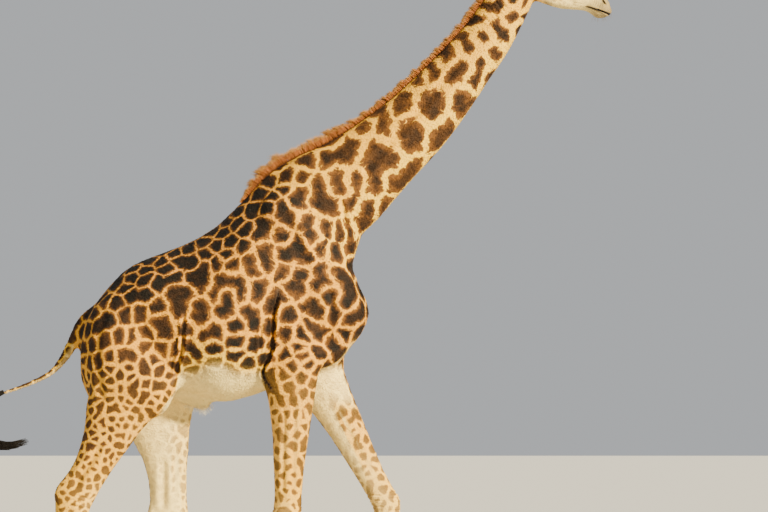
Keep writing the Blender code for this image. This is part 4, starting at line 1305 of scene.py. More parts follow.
FLANK_PATCHES = (
    (-0.175, 2.345, -0.185, 2.28), (-0.225, 2.46, -0.19, 2.40), (-0.36, 2.19, -0.34, 2.265),
     (-0.22, 2.18, -0.19, 2.12),
    (-0.42, 2.28, -0.37, 2.35, -0.30, 2.35, -0.26, 2.28), (-0.30, 2.105), (-0.30, 2.03), (-0.43, 1.98),
    (-0.47, 2.05, -0.41, 2.08), (-0.30, 1.94), (-0.49, 2.23, -0.50, 2.15), (-0.63, 2.29, -0.56,
     2.28, -0.60, 2.20),
    (-0.56, 2.09), (-0.555, 2.00, -0.51, 1.955), (-0.475, 2.43, -0.52, 2.38, -0.49, 2.32), (-0.40, 2.455),
    (-0.32, 2.45), (-0.42, 1.91), (-0.57, 1.92),
)
BACK_PATCHES = (
    (-0.26, 2.545), (-0.35, 2.50), (-0.41, 2.55), (-0.325, 2.57), (-0.46, 2.505), (-0.48, 2.575),
     (-0.56, 2.54),
    (-0.61, 2.465, -0.54, 2.46), (-0.67, 2.425), (-0.71, 2.465), (-0.64, 2.51), (-0.80, 2.42),
     (-0.86, 2.43),
    (-0.80, 2.365), (-0.87, 2.375), (-0.90, 2.32), (-0.72, 2.34, -0.64, 2.38), (-0.87, 2.28, -0.79, 2.28),
    (-0.95, 2.24), (-1.04, 2.26), (-1.08, 2.18), (-0.30, 2.74), (-0.21, 2.75), (-0.13, 2.76),
     (-0.17, 2.84),
    (-0.10, 2.83), (-0.30, 2.67), (-0.25, 2.635), (-0.15, 2.66, -0.17, 2.61), (-0.37, 2.63),
     (-0.43, 2.63),
    (-0.12, 2.91),
)
THIGH_PATCHES = (
    (-0.73, 2.21), (-0.82, 2.18), (-0.90, 2.17), (-1.00, 2.14, -1.06, 2.10), (-0.72, 2.13, -0.69, 2.075),
    (-0.925, 2.05), (-0.87, 2.05), (-0.79, 2.065), (-0.795, 1.99), (-0.70, 1.98), (-0.63, 1.98),
     (-1.02, 2.03),
    (-1.085, 2.02), (-0.91, 1.94, -0.86, 1.94), (-0.99, 1.93), (-1.04, 1.91), (-1.10, 1.90),
    (-0.80, 1.90, -0.79, 1.86), (-0.71, 1.86), (-0.87, 1.83), (-0.99, 1.81), (-1.07, 1.81), (-0.92,
     1.765),
    (-0.79, 1.79),
)
ALL_PATCHES = (*NECK_PATCHES, *SHOULDER_PATCHES, *FLANK_PATCHES, *BACK_PATCHES, *THIGH_PATCHES)
OTHER_SIDE_SHIFT = (0.035, -0.020)


def chalked_centres():
    """The listed middles on both sides of the skin, and the number of each one's patch."""
    tree = BVHTree.FromObject(skin, bpy.context.evaluated_depsgraph_get())
    found, patches = [], []
    for side, _ in SIDES:
        for number, row in enumerate(ALL_PATCHES, 1 if side < 0 else 1 + len(ALL_PATCHES)):
            for x, z in zip(row[::2], row[1::2]):
                if side > 0:
                    x += OTHER_SIDE_SHIFT[0] * math.sin(5 * z + 2 * x)
                    z += OTHER_SIDE_SHIFT[1] * math.cos(7 * x)
                hit = tree.ray_cast(Vector((x, 2.0 * side, z)), Vector((0, -side, 0)))[0]
                if hit is not None and hit.y * side > 0:
                    found.append(hit[:])
                    patches.append(number)
    return np.array(found), patches


print("patches set by hand:", len(ALL_PATCHES), "a side")

# %% [markdown]
# ## Scattering the rest
#
# Where no patch is listed, points are thrown on the skin at random, and one is kept when no
# centre kept before lies nearer than the spacing there. Letting each one ask for a little more or
# less room gives the uneven sizes of a real coat.

# %% Scattering the rest


def scatter(mesh, count):
    """Random places on a mesh of triangles, and the way each one faces."""
    corners = np.empty(len(mesh.polygons) * 3, np.int32)
    mesh.polygons.foreach_get("vertices", corners)
    corners = corners.reshape(-1, 3)
    points, normals = get_points(mesh), get_normals(mesh)
    a, b, c = (points[corners[:, i]] for i in range(3))
    areas = np.linalg.norm(np.cross(b - a, c - a), axis=1) / 2
    faces = rng.choice(len(corners), count, p=areas / areas.sum())
    u, v = rng.random((2, count, 1))
    u, v = np.where(u + v > 1, 1 - u, u), np.where(u + v > 1, 1 - v, v)
    w = 1 - u - v
    spot = a[faces] * w + b[faces] * u + c[faces] * v
    ways = (normals[corners[faces, i]] * share for i, share in enumerate((w, u, v)))
    return spot, unit(sum(ways))


def scatter_centres():
    """All patch centres, and the number of each one's patch."""
    kept, patches = chalked_centres()
    chalked = len(kept)
    spots, ways = scatter(skin.data, 30_000)
    spacing = coat_fields(spots, ways)["spacing"]
    rooms = spacing * rng.uniform(0.66, 1.30, len(spots))
    places = np.zeros((chalked + 9_000, 3))
    places[:chalked] = kept
    count = chalked
    for spot, usual, room in zip(spots, spacing, rooms):
        away = np.abs(places[:count] - spot).sum(1)
        close = np.flatnonzero(away < 2.8 * room)
        away = np.linalg.norm(places[close] - spot, axis=1)
        if (away < np.where(close < chalked, max(0.80 * room, 0.78 * usual), room)).any():
            continue
        # now and then two neighbours make one patch with two lobes
        free = close >= chalked
        if free.any() and rng.random() < 0.34:
            mate = close[free][away[free].argmin()]
            patches.append(patches[mate])
        else:
            patches.append(count + chalked)
        places[count] = spot
        count += 1
    return places[:count], np.array(patches)


centres, patch_numbers = scatter_centres()
print("patch centres:", len(centres))

# %% Markings on a mesh
NEAR = 6
CENTRE_NAMES = tuple(f"centre_{letter}" for letter in "abcdef")
KIN_NAMES = ("patches_abc", "patches_def")


def nearest_centres(places):
    """The numbers of the six centres nearest to each place."""
    tree = KDTree(len(centres))
    for i, centre in enumerate(centres):
        tree.insert(centre, i)
    tree.balance()
    return np.array([[index for _, index, _ in tree.find_n(place, NEAR)] for place in places.tolist()])


def centre_attributes(places):
    """The places and patch numbers of the nearest centres, by the attributes that hold them."""
    near = nearest_centres(places)
    held = {name: centres[near[:, i]] for i, name in enumerate(CENTRE_NAMES)}
    numbers = patch_numbers[near]
    held[KIN_NAMES[0]], held[KIN_NAMES[1]] = numbers[:, :3], numbers[:, 3:]
    return held


def put_attribute(mesh, name, kind, domain, values):
    attribute = mesh.attributes.new(name, kind, domain)
    field = "vector" if kind == "FLOAT_VECTOR" else "value"
    attribute.data.foreach_set(field, np.asarray(values, np.float32).ravel())


def put_markings(mesh):
    """Writes the coat's rules on a mesh's points, and the six nearest centres on its faces."""
    points, normals = get_points(mesh), get_normals(mesh)
    for name, values in coat_fields(points, normals).items():
        put_attribute(mesh, name, "FLOAT", "POINT", values)
    for name, values in centre_attributes(read_vectors(mesh.polygons, "center")).items():
        put_attribute(mesh, name, "FLOAT_VECTOR", "FACE", values)


put_markings(skin.data)
print("markings written on", len(skin.data.polygons), "faces of the skin")

# %% [markdown]
# ## Colours and the net of lines
#
# The material does in nodes what a field guide says in words. The point is first nudged by noise,
# so that no line is straight. For each of the six centres its distance to the lines shared with
# the other five is found, and the largest of these is how deep the point lies in its own patch.
# Thin creases of noise notch the patches' edges, as a vine leaf is notched. From the edge inwards
# a patch then goes from chestnut to nearly black.
#
# Long rows of nodes are easier to read as sums, so a small class turns each node into a call.

# %% Colours and the net of lines


def srgb(*values):
    """A colour as a screen shows it, from 0 to 255, made linear."""
    return tuple(((v / 255) / 12.92 if v < 10 else ((v / 255 + 0.055) / 1.055) ** 2.4) for v in values)


class Nodes:
    """Adds nodes to a tree by plain calls, each giving back its output."""

    def __init__(self, tree):
        self.tree = tree

    def add(self, kind, inputs=(), **settings):
        node = self.tree.nodes.new(kind)
        for key, value in settings.items():
            setattr(node, key, value)
        for key, value in dict(inputs).items():
            if isinstance(value, bpy.types.NodeSocket):
                self.tree.links.new(value, node.inputs[key])
            elif value is not None:
                node.inputs[key].default_value = value
        return node

    def math(self, operation, *values, clamp=False):
        inputs = dict(enumerate(values))
        return self.add("ShaderNodeMath", inputs, operation=operation, use_clamp=clamp).outputs[0]

    def plus(self, first, second, clamp=False):
        return self.math("ADD", first, second, clamp=clamp)

    def minus(self, first, second):
        return self.math("SUBTRACT", first, second)

    def times(self, first, second, clamp=False):
        return self.math("MULTIPLY", first, second, clamp=clamp)

    def hypotenuse(self, first, second):
        return self.math("SQRT", self.plus(self.math("POWER", first, 2.0), self.math("POWER", second, 2.0)))

    def vector(self, operation, *values, scale=None):
        inputs = dict(enumerate(values))
        if scale is not None:
            inputs["Scale"] = scale
        node = self.add("ShaderNodeVectorMath", inputs, operation=operation)
        return node.outputs["Value" if operation in ("DOT_PRODUCT", "DISTANCE", "LENGTH") else "Vector"]

    def noise(self, place, scale, detail=2.0, colour=False, roughness=0.5):
        inputs = {"Vector": place, "Scale": scale, "Detail": detail, "Roughness": roughness}
        return self.add("ShaderNodeTexNoise", inputs).outputs["Color" if colour else "Fac"]

    def ramp(self, value, start, end):
        inputs = {"Value": value, "From Min": start, "From Max": end}
        return self.add("ShaderNodeMapRange", inputs, interpolation_type="SMOOTHSTEP").outputs["Result"]

    def mix(self, share, first, second, blend="MIX"):
        node = self.add("ShaderNodeMix", data_type="RGBA", blend_type=blend)
        for key, value in (("Factor_Float", share), ("A_Color", first), ("B_Color", second)):
            socket = next(item for item in node.inputs if item.identifier == key)
            if isinstance(value, bpy.types.NodeSocket):
                self.tree.links.new(value, socket)
            else:
                socket.default_value = (*value, 1.0) if key != "Factor_Float" else value
        return next(item for item in node.outputs if item.identifier == "Result_Color")

    def value_of(self, name):
        return self.add("ShaderNodeAttribute", attribute_name=name).outputs["Fac"]

    def vector_of(self, name):
        return self.add("ShaderNodeAttribute", attribute_name=name).outputs["Vector"]


def depth_in_patch(nodes, place, centre_sockets, number_sockets, rounding):
    """How far a place lies inside its own patch, from the lines round the patch's centres."""
    squares = []
    for centre in centre_sockets:
        away = nodes.vector("SUBTRACT", place, centre)
        squares.append(nodes.vector("DOT_PRODUCT", away, away))
    from_line = {}
    for i in range(NEAR):
        for j in range(i + 1, NEAR):
            apart = nodes.vector("DISTANCE", centre_sockets[i], centre_sockets[j])
            difference = nodes.minus(squares[j], squares[i])
            line = nodes.math("DIVIDE", difference, nodes.times(apart, 2.0))
            # there is no line between two lobes of one patch
            kin = nodes.math("COMPARE", number_sockets[i], number_sockets[j], 0.5)
            from_line[i, j] = nodes.plus(line, kin)
            from_line[j, i] = nodes.minus(kin, line)
    depth = None
    for i in range(NEAR):
        least = None
        for j in range(NEAR):
            if j != i:
                line = from_line[i, j]
                least = line if least is None else nodes.math("SMOOTH_MIN", least, line, rounding)
        depth = least if depth is None else nodes.math("MAXIMUM", depth, least)
    return depth


TAN, CREAM, BELLY_WHITE = srgb(236, 168, 36), srgb(251, 208, 60), srgb(255, 229, 148)
CHESTNUT, UMBER, SOOT = srgb(116, 72, 24), srgb(43, 23, 5), srgb(14, 8, 2)
MUZZLE_GREY = srgb(104, 82, 64)


def make_coat_group():
    """A node group: place and the coat's rules in, the coat's colour out."""
    group = bpy.data.node_groups.new("giraffe_markings", "ShaderNodeTree")
    face = group.interface
    face.new_socket("Place", in_out="INPUT", socket_type="NodeSocketVector")
    for name in (*CENTRE_NAMES, *KIN_NAMES):
        face.new_socket(name, in_out="INPUT", socket_type="NodeSocketVector")
    for name in RULE_NAMES:
        face.new_socket(name, in_out="INPUT", socket_type="NodeSocketFloat")
    face.new_socket("Color", in_out="OUTPUT", socket_type="NodeSocketColor")
    nodes = Nodes(group)
    given = nodes.add("NodeGroupInput").outputs
    place, spacing, gap = given["Place"], given["spacing"], given["gap"]

    # nudge the place, by a share of the patches' size
    nudged = place
    for scale, detail, share in ((13.0, 2.0, 0.26), (46.0, 3.0, 0.15)):
        noise = nodes.noise(place, scale, detail, colour=True)
        sway = nodes.vector("SUBTRACT", noise, (0.5, 0.5, 0.5))
        sway = nodes.vector("SCALE", sway, scale=nodes.times(spacing, share))
        nudged = nodes.vector("ADD", nudged, sway)
    numbers = []
    for name in KIN_NAMES:
        numbers += list(nodes.add("ShaderNodeSeparateXYZ", {"Vector": given[name]}).outputs)
    depth = depth_in_patch(nodes, nudged, [given[name] for name in CENTRE_NAMES], numbers, 0.012)

    # the pale line is wider in some places, and notches run into a patch from its edge
    wider = {"Value": nodes.noise(place, 20.0, 0.0), "From Min": 0.30, "From Max": 0.70}
    wider.update({"To Min": 0.55, "To Max": 1.45})
    wider = nodes.add("ShaderNodeMapRange", wider).outputs["Result"]
    notch = nodes.math("ABSOLUTE", nodes.minus(nodes.noise(place, 16.0, 0.0), 0.5))
    notch = nodes.times(nodes.ramp(notch, 0.036, 0.0), nodes.times(spacing, 0.065))
    fray = nodes.minus(nodes.noise(place, 150.0, 3.0), 0.5)
    well_in = nodes.minus(nodes.minus(depth, nodes.times(gap, wider)), notch)
    inside = nodes.plus(well_in, nodes.times(fray, 0.0050))
    patch = nodes.ramp(inside, -0.0042, 0.0050)

    # from chestnut at the edge to umber and soot inside
    smudge = nodes.noise(place, 17.0, 3.0, roughness=0.6)
    blotch = nodes.ramp(smudge, 0.34, 0.66)
    grown = nodes.math("DIVIDE", well_in, nodes.times(spacing, 0.21))
    grown = nodes.ramp(nodes.plus(grown, nodes.times(nodes.minus(smudge, 0.5), 0.9)), 0.0, 1.0)
    uneven = nodes.plus(0.55, nodes.times(nodes.noise(place, 5.0, 2.0), 0.9))
    dark = nodes.times(given["dark"], uneven, clamp=True)
    umber = nodes.times(grown, nodes.plus(0.30, nodes.times(dark, 0.78)))
    colour = nodes.mix(umber, CHESTNUT, UMBER)
    soot = nodes.times(nodes.times(grown, dark), nodes.plus(0.26, nodes.times(blotch, 0.85)))
    soot = nodes.plus(soot, nodes.times(nodes.ramp(given["dark"], 0.82, 1.0), 0.30), clamp=True)
    colour = nodes.mix(soot, colour, SOOT)

    # the ground between the patches
    mottle = nodes.noise(place, 31.0, 4.0)
    ground = nodes.mix(given["cream"], TAN, CREAM)
    on_back = nodes.times(nodes.ramp(given["dark"], 0.80, 1.0), 0.55)
    ground = nodes.mix(on_back, ground, srgb(178, 112, 48))
    ground = nodes.mix(nodes.ramp(given["fade"], 0.15, 0.80), ground, BELLY_WHITE)
    ground = nodes.mix(nodes.times(nodes.minus(1.0, mottle), 0.16), ground, srgb(200, 130, 46))
    # a patch that fades out turns smoky before it is gone
    colour = nodes.mix(nodes.ramp(given["fade"], 0.25, 0.90), colour, srgb(134, 98, 70))
    # light adds up faster than the eye reads it, so a half faded patch lets less than half through
    let_through = nodes.math("POWER", given["fade"], 1.6)
    shown = nodes.times(patch, nodes.minus(1.0, let_through))
    colour = nodes.mix(shown, ground, colour)
    # bare skin turns the coat grey, then nearly black; the same field also paints shade along the deep
    # folds
    grey = nodes.mix(nodes.noise(place, 60.0, 3.0), MUZZLE_GREY, srgb(80, 60, 46))
    grey = nodes.mix(nodes.ramp(given["bare"], 0.74, 0.98), grey, srgb(30, 21, 17))
    colour = nodes.mix(given["bare"], colour, grey)
    group.links.new(colour, nodes.add("NodeGroupOutput").inputs["Color"])
    return group


coat_group = make_coat_group()


def add_markings(nodes, place):
    """The group in a material, its rules read from the piece's own attributes."""
    inputs = {"Place": place}
    inputs.update({name: nodes.vector_of(name) for name in (*CENTRE_NAMES, *KIN_NAMES)})
    inputs.update({name: nodes.value_of(name) for name in RULE_NAMES})
    holder = nodes.tree.nodes.new("ShaderNodeGroup")
    holder.node_tree = coat_group
    for key, socket in inputs.items():
        nodes.tree.links.new(socket, holder.inputs[key])
    return holder.outputs


class Finish(Nodes):
    """The nodes of a new material, with the Principled shader that they feed."""

    def __init__(self, name, roughness, specular, **settings):
        self.material = bpy.data.materials.new(name)
        self.material.use_nodes = True
        super().__init__(self.material.node_tree)
        self.shader = self.tree.nodes["Principled BSDF"]
        settings.update(Roughness=roughness, Specular_IOR_Level=specular)
        for key, value in settings.items():
            self.shader.inputs[key.replace("_", " ")].default_value = value

    def place(self):
        return self.add("ShaderNodeTexCoord").outputs["Object"]

    def feed(self, key, socket):
        self.tree.links.new(socket, self.shader.inputs[key])

    def bump(self, height, strength, distance):
        inputs = {"Height": height, "Strength": strength, "Distance": distance}
        self.feed("Normal", self.add("ShaderNodeBump", inputs).outputs["Normal"])


def make_skin_material():
    nodes = Finish("short_coat", 0.78, specular=0.25)
    place = nodes.place()
    marks = add_markings(nodes, place)
    hair = nodes.noise(place, 900.0, 2.0)
    clumps = nodes.noise(place, 240.0, 3.0)
    lit = nodes.mix(nodes.times(clumps, 0.14), marks["Color"], (0.02, 0.012, 0.008))
    nodes.feed("Base Color", lit)
    height = nodes.plus(nodes.times(hair, 0.4), nodes.times(clumps, 0.8))
    nodes.bump(height, 0.6, 0.0012)
    return nodes.material


skin.data.materials.clear()
skin.data.materials.append(make_skin_material())

# %% [markdown]
# ## The lie of the coat
#
# Hair points away from the nose: down the face, back along the neck and trunk, and down the legs.
# The lie is a smooth field too. Each part of the body has its own way, the ways are mixed where
# the parts meet, and the result is laid flat on the skin.

# %% The lie of the coat


def lie_of_coat(points, normals):
    """The way that hair lies at each point, flat on the skin."""
    x, y, z = points.T
    head = head_share(points)
    neck = ramp(past_neck_root(points), -0.20, 0.25) * (z > 2.2) * (1 - head)
    tail = on_tail(points)
    leg = ramp(z, 2.05, 1.65) * (1 - head) * (1 - tail)
    trunk = np.clip(1 - neck - head - leg - tail, 0, 1)
    jaw = ramp(to_head(points)[:, 1], 0.02, -0.08)
    ways = head[:, None] * (ALONG - 0.7 * jaw[:, None] * ABOVE)
    ways += neck[:, None] * np.array((-0.72, 0, -0.69))
    ways += trunk[:, None] * np.array((-0.88, 0, -0.40))
    ways += tail[:, None] * np.array((-0.85, 0, -0.45))
    for name, (top, knee, fetlock) in JOINTS.items():
        mine = leg * (y * LEG_SIDE[name] > 0)
        mine = mine * ((x > BETWEEN_LEGS) == name.startswith("fore"))
        upper = unit(np.array(knee) - np.array(top))
        lower = unit(np.array(fetlock) - np.array(knee))
        share = ramp(z, knee[1] + 0.1, knee[1] - 0.1)[:, None]
        down = fade_to(upper, lower, share)
        ways[:, 0] += mine * down[:, 0]
        ways[:, 2] += mine * down[:, 1]
    flat = ways - normals * (ways * normals).sum(1, keepdims=True)
    length = np.linalg.norm(flat, axis=1, keepdims=True)
    spare = unit(np.cross(normals, (0, 1, 0.01)))  # where hair would stand straight up or down
    return np.where(length > 0.05, flat / np.maximum(length, 1e-6), spare)


print("lie of the coat set for", 4 + len(JOINTS), "parts")


# %% [markdown]
# ## An unwrap of the skin
#
# Each tuft takes one colour from the place where it grows, so its texture patch is a dot at that
# place on an unwrap of the skin. The unwrap is the plainest that keeps neighbours together: the
# skin is sorted by body part and by which of six ways it faces, each group is laid flat along
# that way, and the groups are set side by side.

# %% An unwrap of the skin
TUFT_PATCH = 0.003  # a tuft's dot, as a share of the whole unwrap
SHEET_MARGIN = 0.02


def body_parts(points):
    """Which part of the body each point belongs to: 0 head, 1 neck, 2 trunk, 3 tail, 4 to 7 legs."""
    x, y, z = points.T
    part = np.full(len(points), 2)
    part[(past_neck_root(points) > 0) & (z > 2.3)] = 1
    part[head_share(points) > 0.4] = 0
    part[on_tail(points)] = 3
    low = (z < 1.86) & (part == 2) & ~((np.abs(y) < 0.07) & (z > 1.60))
    part[low & (x > BETWEEN_LEGS)] = 4
    part[low & (x <= BETWEEN_LEGS)] = 6
    part[low & (y > 0)] += 1
    return part


def unwrap(points, normals):
    """Places on an unwrap of the skin, in a unit square."""
    way = np.argmax(np.abs(normals), axis=1)
    signs = np.take_along_axis(normals, way[:, None], axis=1)[:, 0] > 0
    group = body_parts(points) * 6 + way * 2 + signs
    flat = np.empty((len(points), 2))
    for axis, (a, b) in enumerate(((1, 2), (0, 2), (0, 1))):
        flat[way == axis] = points[way == axis][:, (a, b)]
    sheets = []
    for key in np.unique(group):
        mine = group == key
        low, high = flat[mine].min(0), flat[mine].max(0)
        sheets.append((key, low - SHEET_MARGIN, high - low + 2 * SHEET_MARGIN))
    sheets.sort(key=lambda sheet: -sheet[2][1])
    row_width = math.sqrt(sum(size[0] * size[1] for _, _, size in sheets)) * 1.25
    made = np.empty_like(flat)
    right = top = tallest = reach = 0.0
    for key, low, size in sheets:
        if right and right + size[0] > row_width:
            right, top, tallest = 0.0, top + tallest, 0.0
        made[group == key] = flat[group == key] - low + (right, top)
        right += size[0]
        tallest = max(tallest, size[1])
        reach = max(reach, right, top + tallest)
    return 0.004 + 0.992 * made / reach


print("unwrap ready")


# %% [markdown]
# ## Planting tufts
#
# One tuft is a small keeled blade: wide and sunk in the skin at its root, ridged along its middle
# and pointed at its tip. It is cut from a grid. Tens of thousands of copies are then worked out at
# once as arrays and written as one mesh, since an object or a modifier for each would be far too
# slow. Every tuft gets its own length, width, turn and lift.

# %% Planting tufts


def make_blade():
    """A tuft one long and two wide: its points (across, along, up) and its triangles."""
    bm = bmesh.new()
    bmesh.ops.create_grid(bm, x_segments=2, y_segments=2, size=1.0)
    for vertex in bm.verts:
        across, along = vertex.co.x, (vertex.co.y + 1) / 2
        width = (0.8, 1.0, 0.0)[round(along * 2)]
        keel = (0.5, 1.0, 0.35)[round(along * 2)] * (1 - abs(across))
        vertex.co = (across * width, along, keel)
    bmesh.ops.remove_doubles(bm, verts=bm.verts, dist=1e-4)
    bmesh.ops.triangulate(bm, faces=bm.faces)
    bmesh.ops.recalc_face_normals(bm, faces=bm.faces)
    if sum(face.normal.z for face in bm.faces) < 0:
        bmesh.ops.reverse_faces(bm, faces=bm.faces)
    shape = np.array([vertex.co[:] for vertex in bm.verts])
    triangles = np.array([[vertex.index for vertex in face.verts] for face in bm.faces])
    bm.free()
    return shape, triangles


BLADE, BLADE_FACES = make_blade()
print("a tuft has", len(BLADE_FACES), "triangles")

# %% Roots and dots of the tufts


def put_roots(thing, roots, normals, uv_roots, corners, faces_each):
    """Gives each tuft of a mesh its markings, its shade and its dot on the unwrap."""
    mesh = thing.data

    def spread(values):
        return np.repeat(values, faces_each, axis=0)

    for name, values in centre_attributes(roots).items():
        put_attribute(mesh, name, "FLOAT_VECTOR", "FACE", spread(values))
    put_attribute(mesh, "root", "FLOAT_VECTOR", "FACE", spread(roots))
    for name, values in coat_fields(roots, normals).items():
        put_attribute(mesh, name, "FLOAT", "FACE", spread(values))
    put_attribute(mesh, "shade", "FLOAT", "FACE", spread(rng.random(len(roots))))
    put_dots(mesh, uv_roots, corners)


def put_dots(mesh, uv_roots, corners):
    """UV map: each tuft is a dot at its root's place. Corners holds the dot's own shape."""
    uv = uv_roots[:, None, :] + corners[None] * TUFT_PATCH
    layer = mesh.uv_layers.new(name="OFBake")
    layer.data.foreach_set("uv", uv.astype(np.float32).ravel())


def plant(name, spots, normals, length, width, lift, turn=0.16):
    """Plants one blade at each spot, lying along the coat."""
    count = len(spots)
    lie = lie_of_coat(spots, normals)
    across = np.cross(normals, lie)
    angle = rng.normal(0, turn, count)[:, None]
    way = lie * np.cos(angle) + across * np.sin(angle)
    across = np.cross(normals, way)
    size = rng.uniform(0.75, 1.25, count)
    long, wide = length * size, width * rng.uniform(0.8, 1.2, count)
    rise = lift * rng.uniform(0.45, 1.0, count)
    bend = rng.normal(0, 0.06, count) * long
    side, along, up = (BLADE[:, i][None, :, None] for i in range(3))
    root = (spots - normals * 0.0006)[:, None, :]
    points = root + way[:, None, :] * along * long[:, None, None]
    wide, bend, rise = (values[:, None, None] for values in (wide, bend, rise))
    points = points + across[:, None, :] * (side * wide / 2 + along**2 * bend)
    points = points + normals[:, None, :] * (up * wide * 0.22 + along**1.4 * rise)
    faces = (BLADE_FACES[None] + np.arange(count)[:, None, None] * len(BLADE)).reshape(-1, 3)
    thing = mesh_of(name, points.reshape(-1, 3), faces)
    dot = np.stack([BLADE[:, 0] * 0.5, BLADE[:, 1] - 0.5], axis=1)[BLADE_FACES.ravel()]
    put_roots(thing, spots, normals, unwrap(spots, normals), dot, len(BLADE_FACES))
    return thing


print("tufts have a dot of", TUFT_PATCH, "on the unwrap")

# %% The coat


def make_tuft_material():
    nodes = Finish("coat_tufts", 0.74, specular=0.2, Sheen_Weight=0.03, Sheen_Roughness=0.5)
    root = nodes.vector_of("root")
    along = nodes.vector("SUBTRACT", nodes.place(), root)
    # a tuft keeps a little of its root's colour, so a patch has a furry edge but no comb of teeth
    marks = add_markings(nodes, nodes.vector("ADD", root, nodes.vector("SCALE", along, scale=0.80)))
    shade = nodes.value_of("shade")
    dim = nodes.mix(nodes.times(shade, 0.15), marks["Color"], (0.02, 0.012, 0.007))
    nodes.feed("Base Color", dim)
    return nodes.material


tuft_material = make_tuft_material()
COAT_SPOTS, TUFTS_EACH = 1_100_000, 31_000
QUICK_SHARE = 1.0


def tuft_sizes(spots):
    """Length, width and lift of the tufts: smallest on the face and feet."""
    z = spots[:, 2]
    face = head_share(spots)
    nose = ramp(to_head(spots)[:, 0], 0.30, 0.60) * face
    leg = ramp(z, 1.9, 1.2)
    length = 0.0155 - 0.0060 * face - 0.0040 * nose - 0.0045 * leg
    width = 0.0048 - 0.0022 * face - 0.0008 * nose - 0.0018 * leg
    return length, width, coat_depth(spots) * 0.92


def coat_pieces():
    """Spots all over the skin, sorted into pieces of the coat."""
    spots, normals = scatter(skin.data, int(COAT_SPOTS * QUICK_SHARE))
    part = body_parts(spots)
    groups = {
        "coat_head": part == 0,
        "coat_neck": part == 1,
        "coat_trunk_right": (part == 2) & (spots[:, 1] < 0),
        "coat_trunk_left": (part == 2) & (spots[:, 1] >= 0),
        "coat_forelegs": (part == 4) | (part == 5),
        "coat_hindlegs": (part == 6) | (part == 7) | (part == 3),
    }
    # the lids' rims and the tip of the muzzle are bald
    bald = (to_head(spots)[:, 0] > 0.648) & (spots[:, 2] > 3.6)
    for side, _ in SIDES:
        away = np.linalg.norm(spots - eye_point(side), axis=1)
        bald |= away < EYE_RADIUS + LID + 0.0012
    for name, mine in groups.items():
        chosen = np.flatnonzero(mine & ~bald)[: int(TUFTS_EACH * QUICK_SHARE)]
        length, width, lift = tuft_sizes(spots[chosen])
        piece = plant(name, spots[chosen], normals[chosen], length, width, lift)
        piece.data.materials.append(tuft_material)
        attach(piece, "root")
        print(name, len(chosen), "tufts of", int(mine.sum()), "spots")


coat_pieces()

# %% [markdown]
# ## Long hair
#
# The mane, the tail's brush and the other long hairs are locks with a thickness of their own:
# three-sided, tapering to a point and bent along a line. The line of every lock is worked out
# first, as a row of points, and one function then sweeps the three-sided ring along all of them.

# %% Long hair


def hair_mesh(name, lines, radii, uv_roots, flat=0.6):
    """Sweeps a three-sided ring along each line. lines is locks by points by three."""
    locks, rings, _ = lines.shape
    tangent = unit(np.gradient(lines, axis=1))
    helper = unit(rng.normal(size=(locks, 1, 3)))
    first = unit(np.cross(tangent, helper))
    second = np.cross(tangent, first) * flat
    shape = np.empty((locks, rings, 3, 3))
    for k in range(3):
        turn = 2 * math.pi * k / 3
        ring = first * math.cos(turn) + second * math.sin(turn)
        shape[:, :, k] = lines + ring * radii[:, :, None]
    own = []
    for i in range(rings - 1):
        for k in range(3):
            a, b = 3 * i + k, 3 * i + (k + 1) % 3
            own += [(a, b, b + 3), (a, b + 3, a + 3)]
    end = 3 * (rings - 1)
    own += [(0, 2, 1), (end, end + 1, end + 2)]
    own = np.array(own)
    faces = (own[None] + np.arange(locks)[:, None, None] * rings * 3).reshape(-1, 3)
    thing = mesh_of(name, shape.reshape(-1, 3), faces)
    along = np.repeat(np.arange(rings) / (rings - 1), 3)
    put_attribute(thing.data, "along", "FLOAT", "POINT", np.tile(along, locks))
    put_attribute(thing.data, "shade", "FLOAT", "FACE", np.repeat(rng.random(locks), len(own)))
    turn = np.tile(np.arange(3) / 3 - 0.33, rings)
    dot = np.stack([turn, along - 0.5], axis=1)[own.ravel()]
    put_dots(thing.data, uv_roots, dot)
    return thing


def taper(rings, locks, radius):
    """Radii that swell a little above the root and run out to a point."""
    along = np.arange(rings) / (rings - 1)
    shape = np.clip(0.75 + 0.5 * along, 0, 1) * np.sqrt(np.clip(1.02 - along, 0.0004, 1))
    return np.outer(np.broadcast_to(radius, locks), shape)


def hair_material(name, base, middle, tip, roughness=0.6, gloss=0.3):
    """Hair that changes colour from root to tip and from lock to lock."""
    nodes = Finish(name, roughness, specular=gloss, Sheen_Weight=0.02)
    along, shade = nodes.value_of("along"), nodes.value_of("shade")
    colour = nodes.mix(nodes.ramp(along, 0.02, 0.40), base, middle)
    colour = nodes.mix(nodes.ramp(along, 0.55, 1.0), colour, tip)
    colour = nodes.mix(nodes.times(shade, 0.45), colour, tuple(v * 0.35 for v in base))
    place = nodes.place()
    streak = nodes.noise(place, 160.0, 3.0)
    colour = nodes.mix(nodes.times(streak, 0.35), colour, tuple(min(1, v * 1.5) for v in middle))
    nodes.feed("Base Color", colour)
    nodes.bump(nodes.noise(place, 700.0), 0.4, 0.0008)
    return nodes.material


# %% [markdown]
# ## Mane
#
# The mane is a dense upright brush from the ears to the withers, gingery with a dark line where it
# leaves the skin. Its locks stand in the space of the mane's solid, whose own mesh says where the
# skin's ridge runs and how high the crest is. They lean back a little and part at their tips, most
# where the mane is tallest.

# %% Mane
MANE_LOCKS, MANE_HALF, MANE_SUNK = 6800, 0.017, 0.008
CLUMP_GAP = 0.019


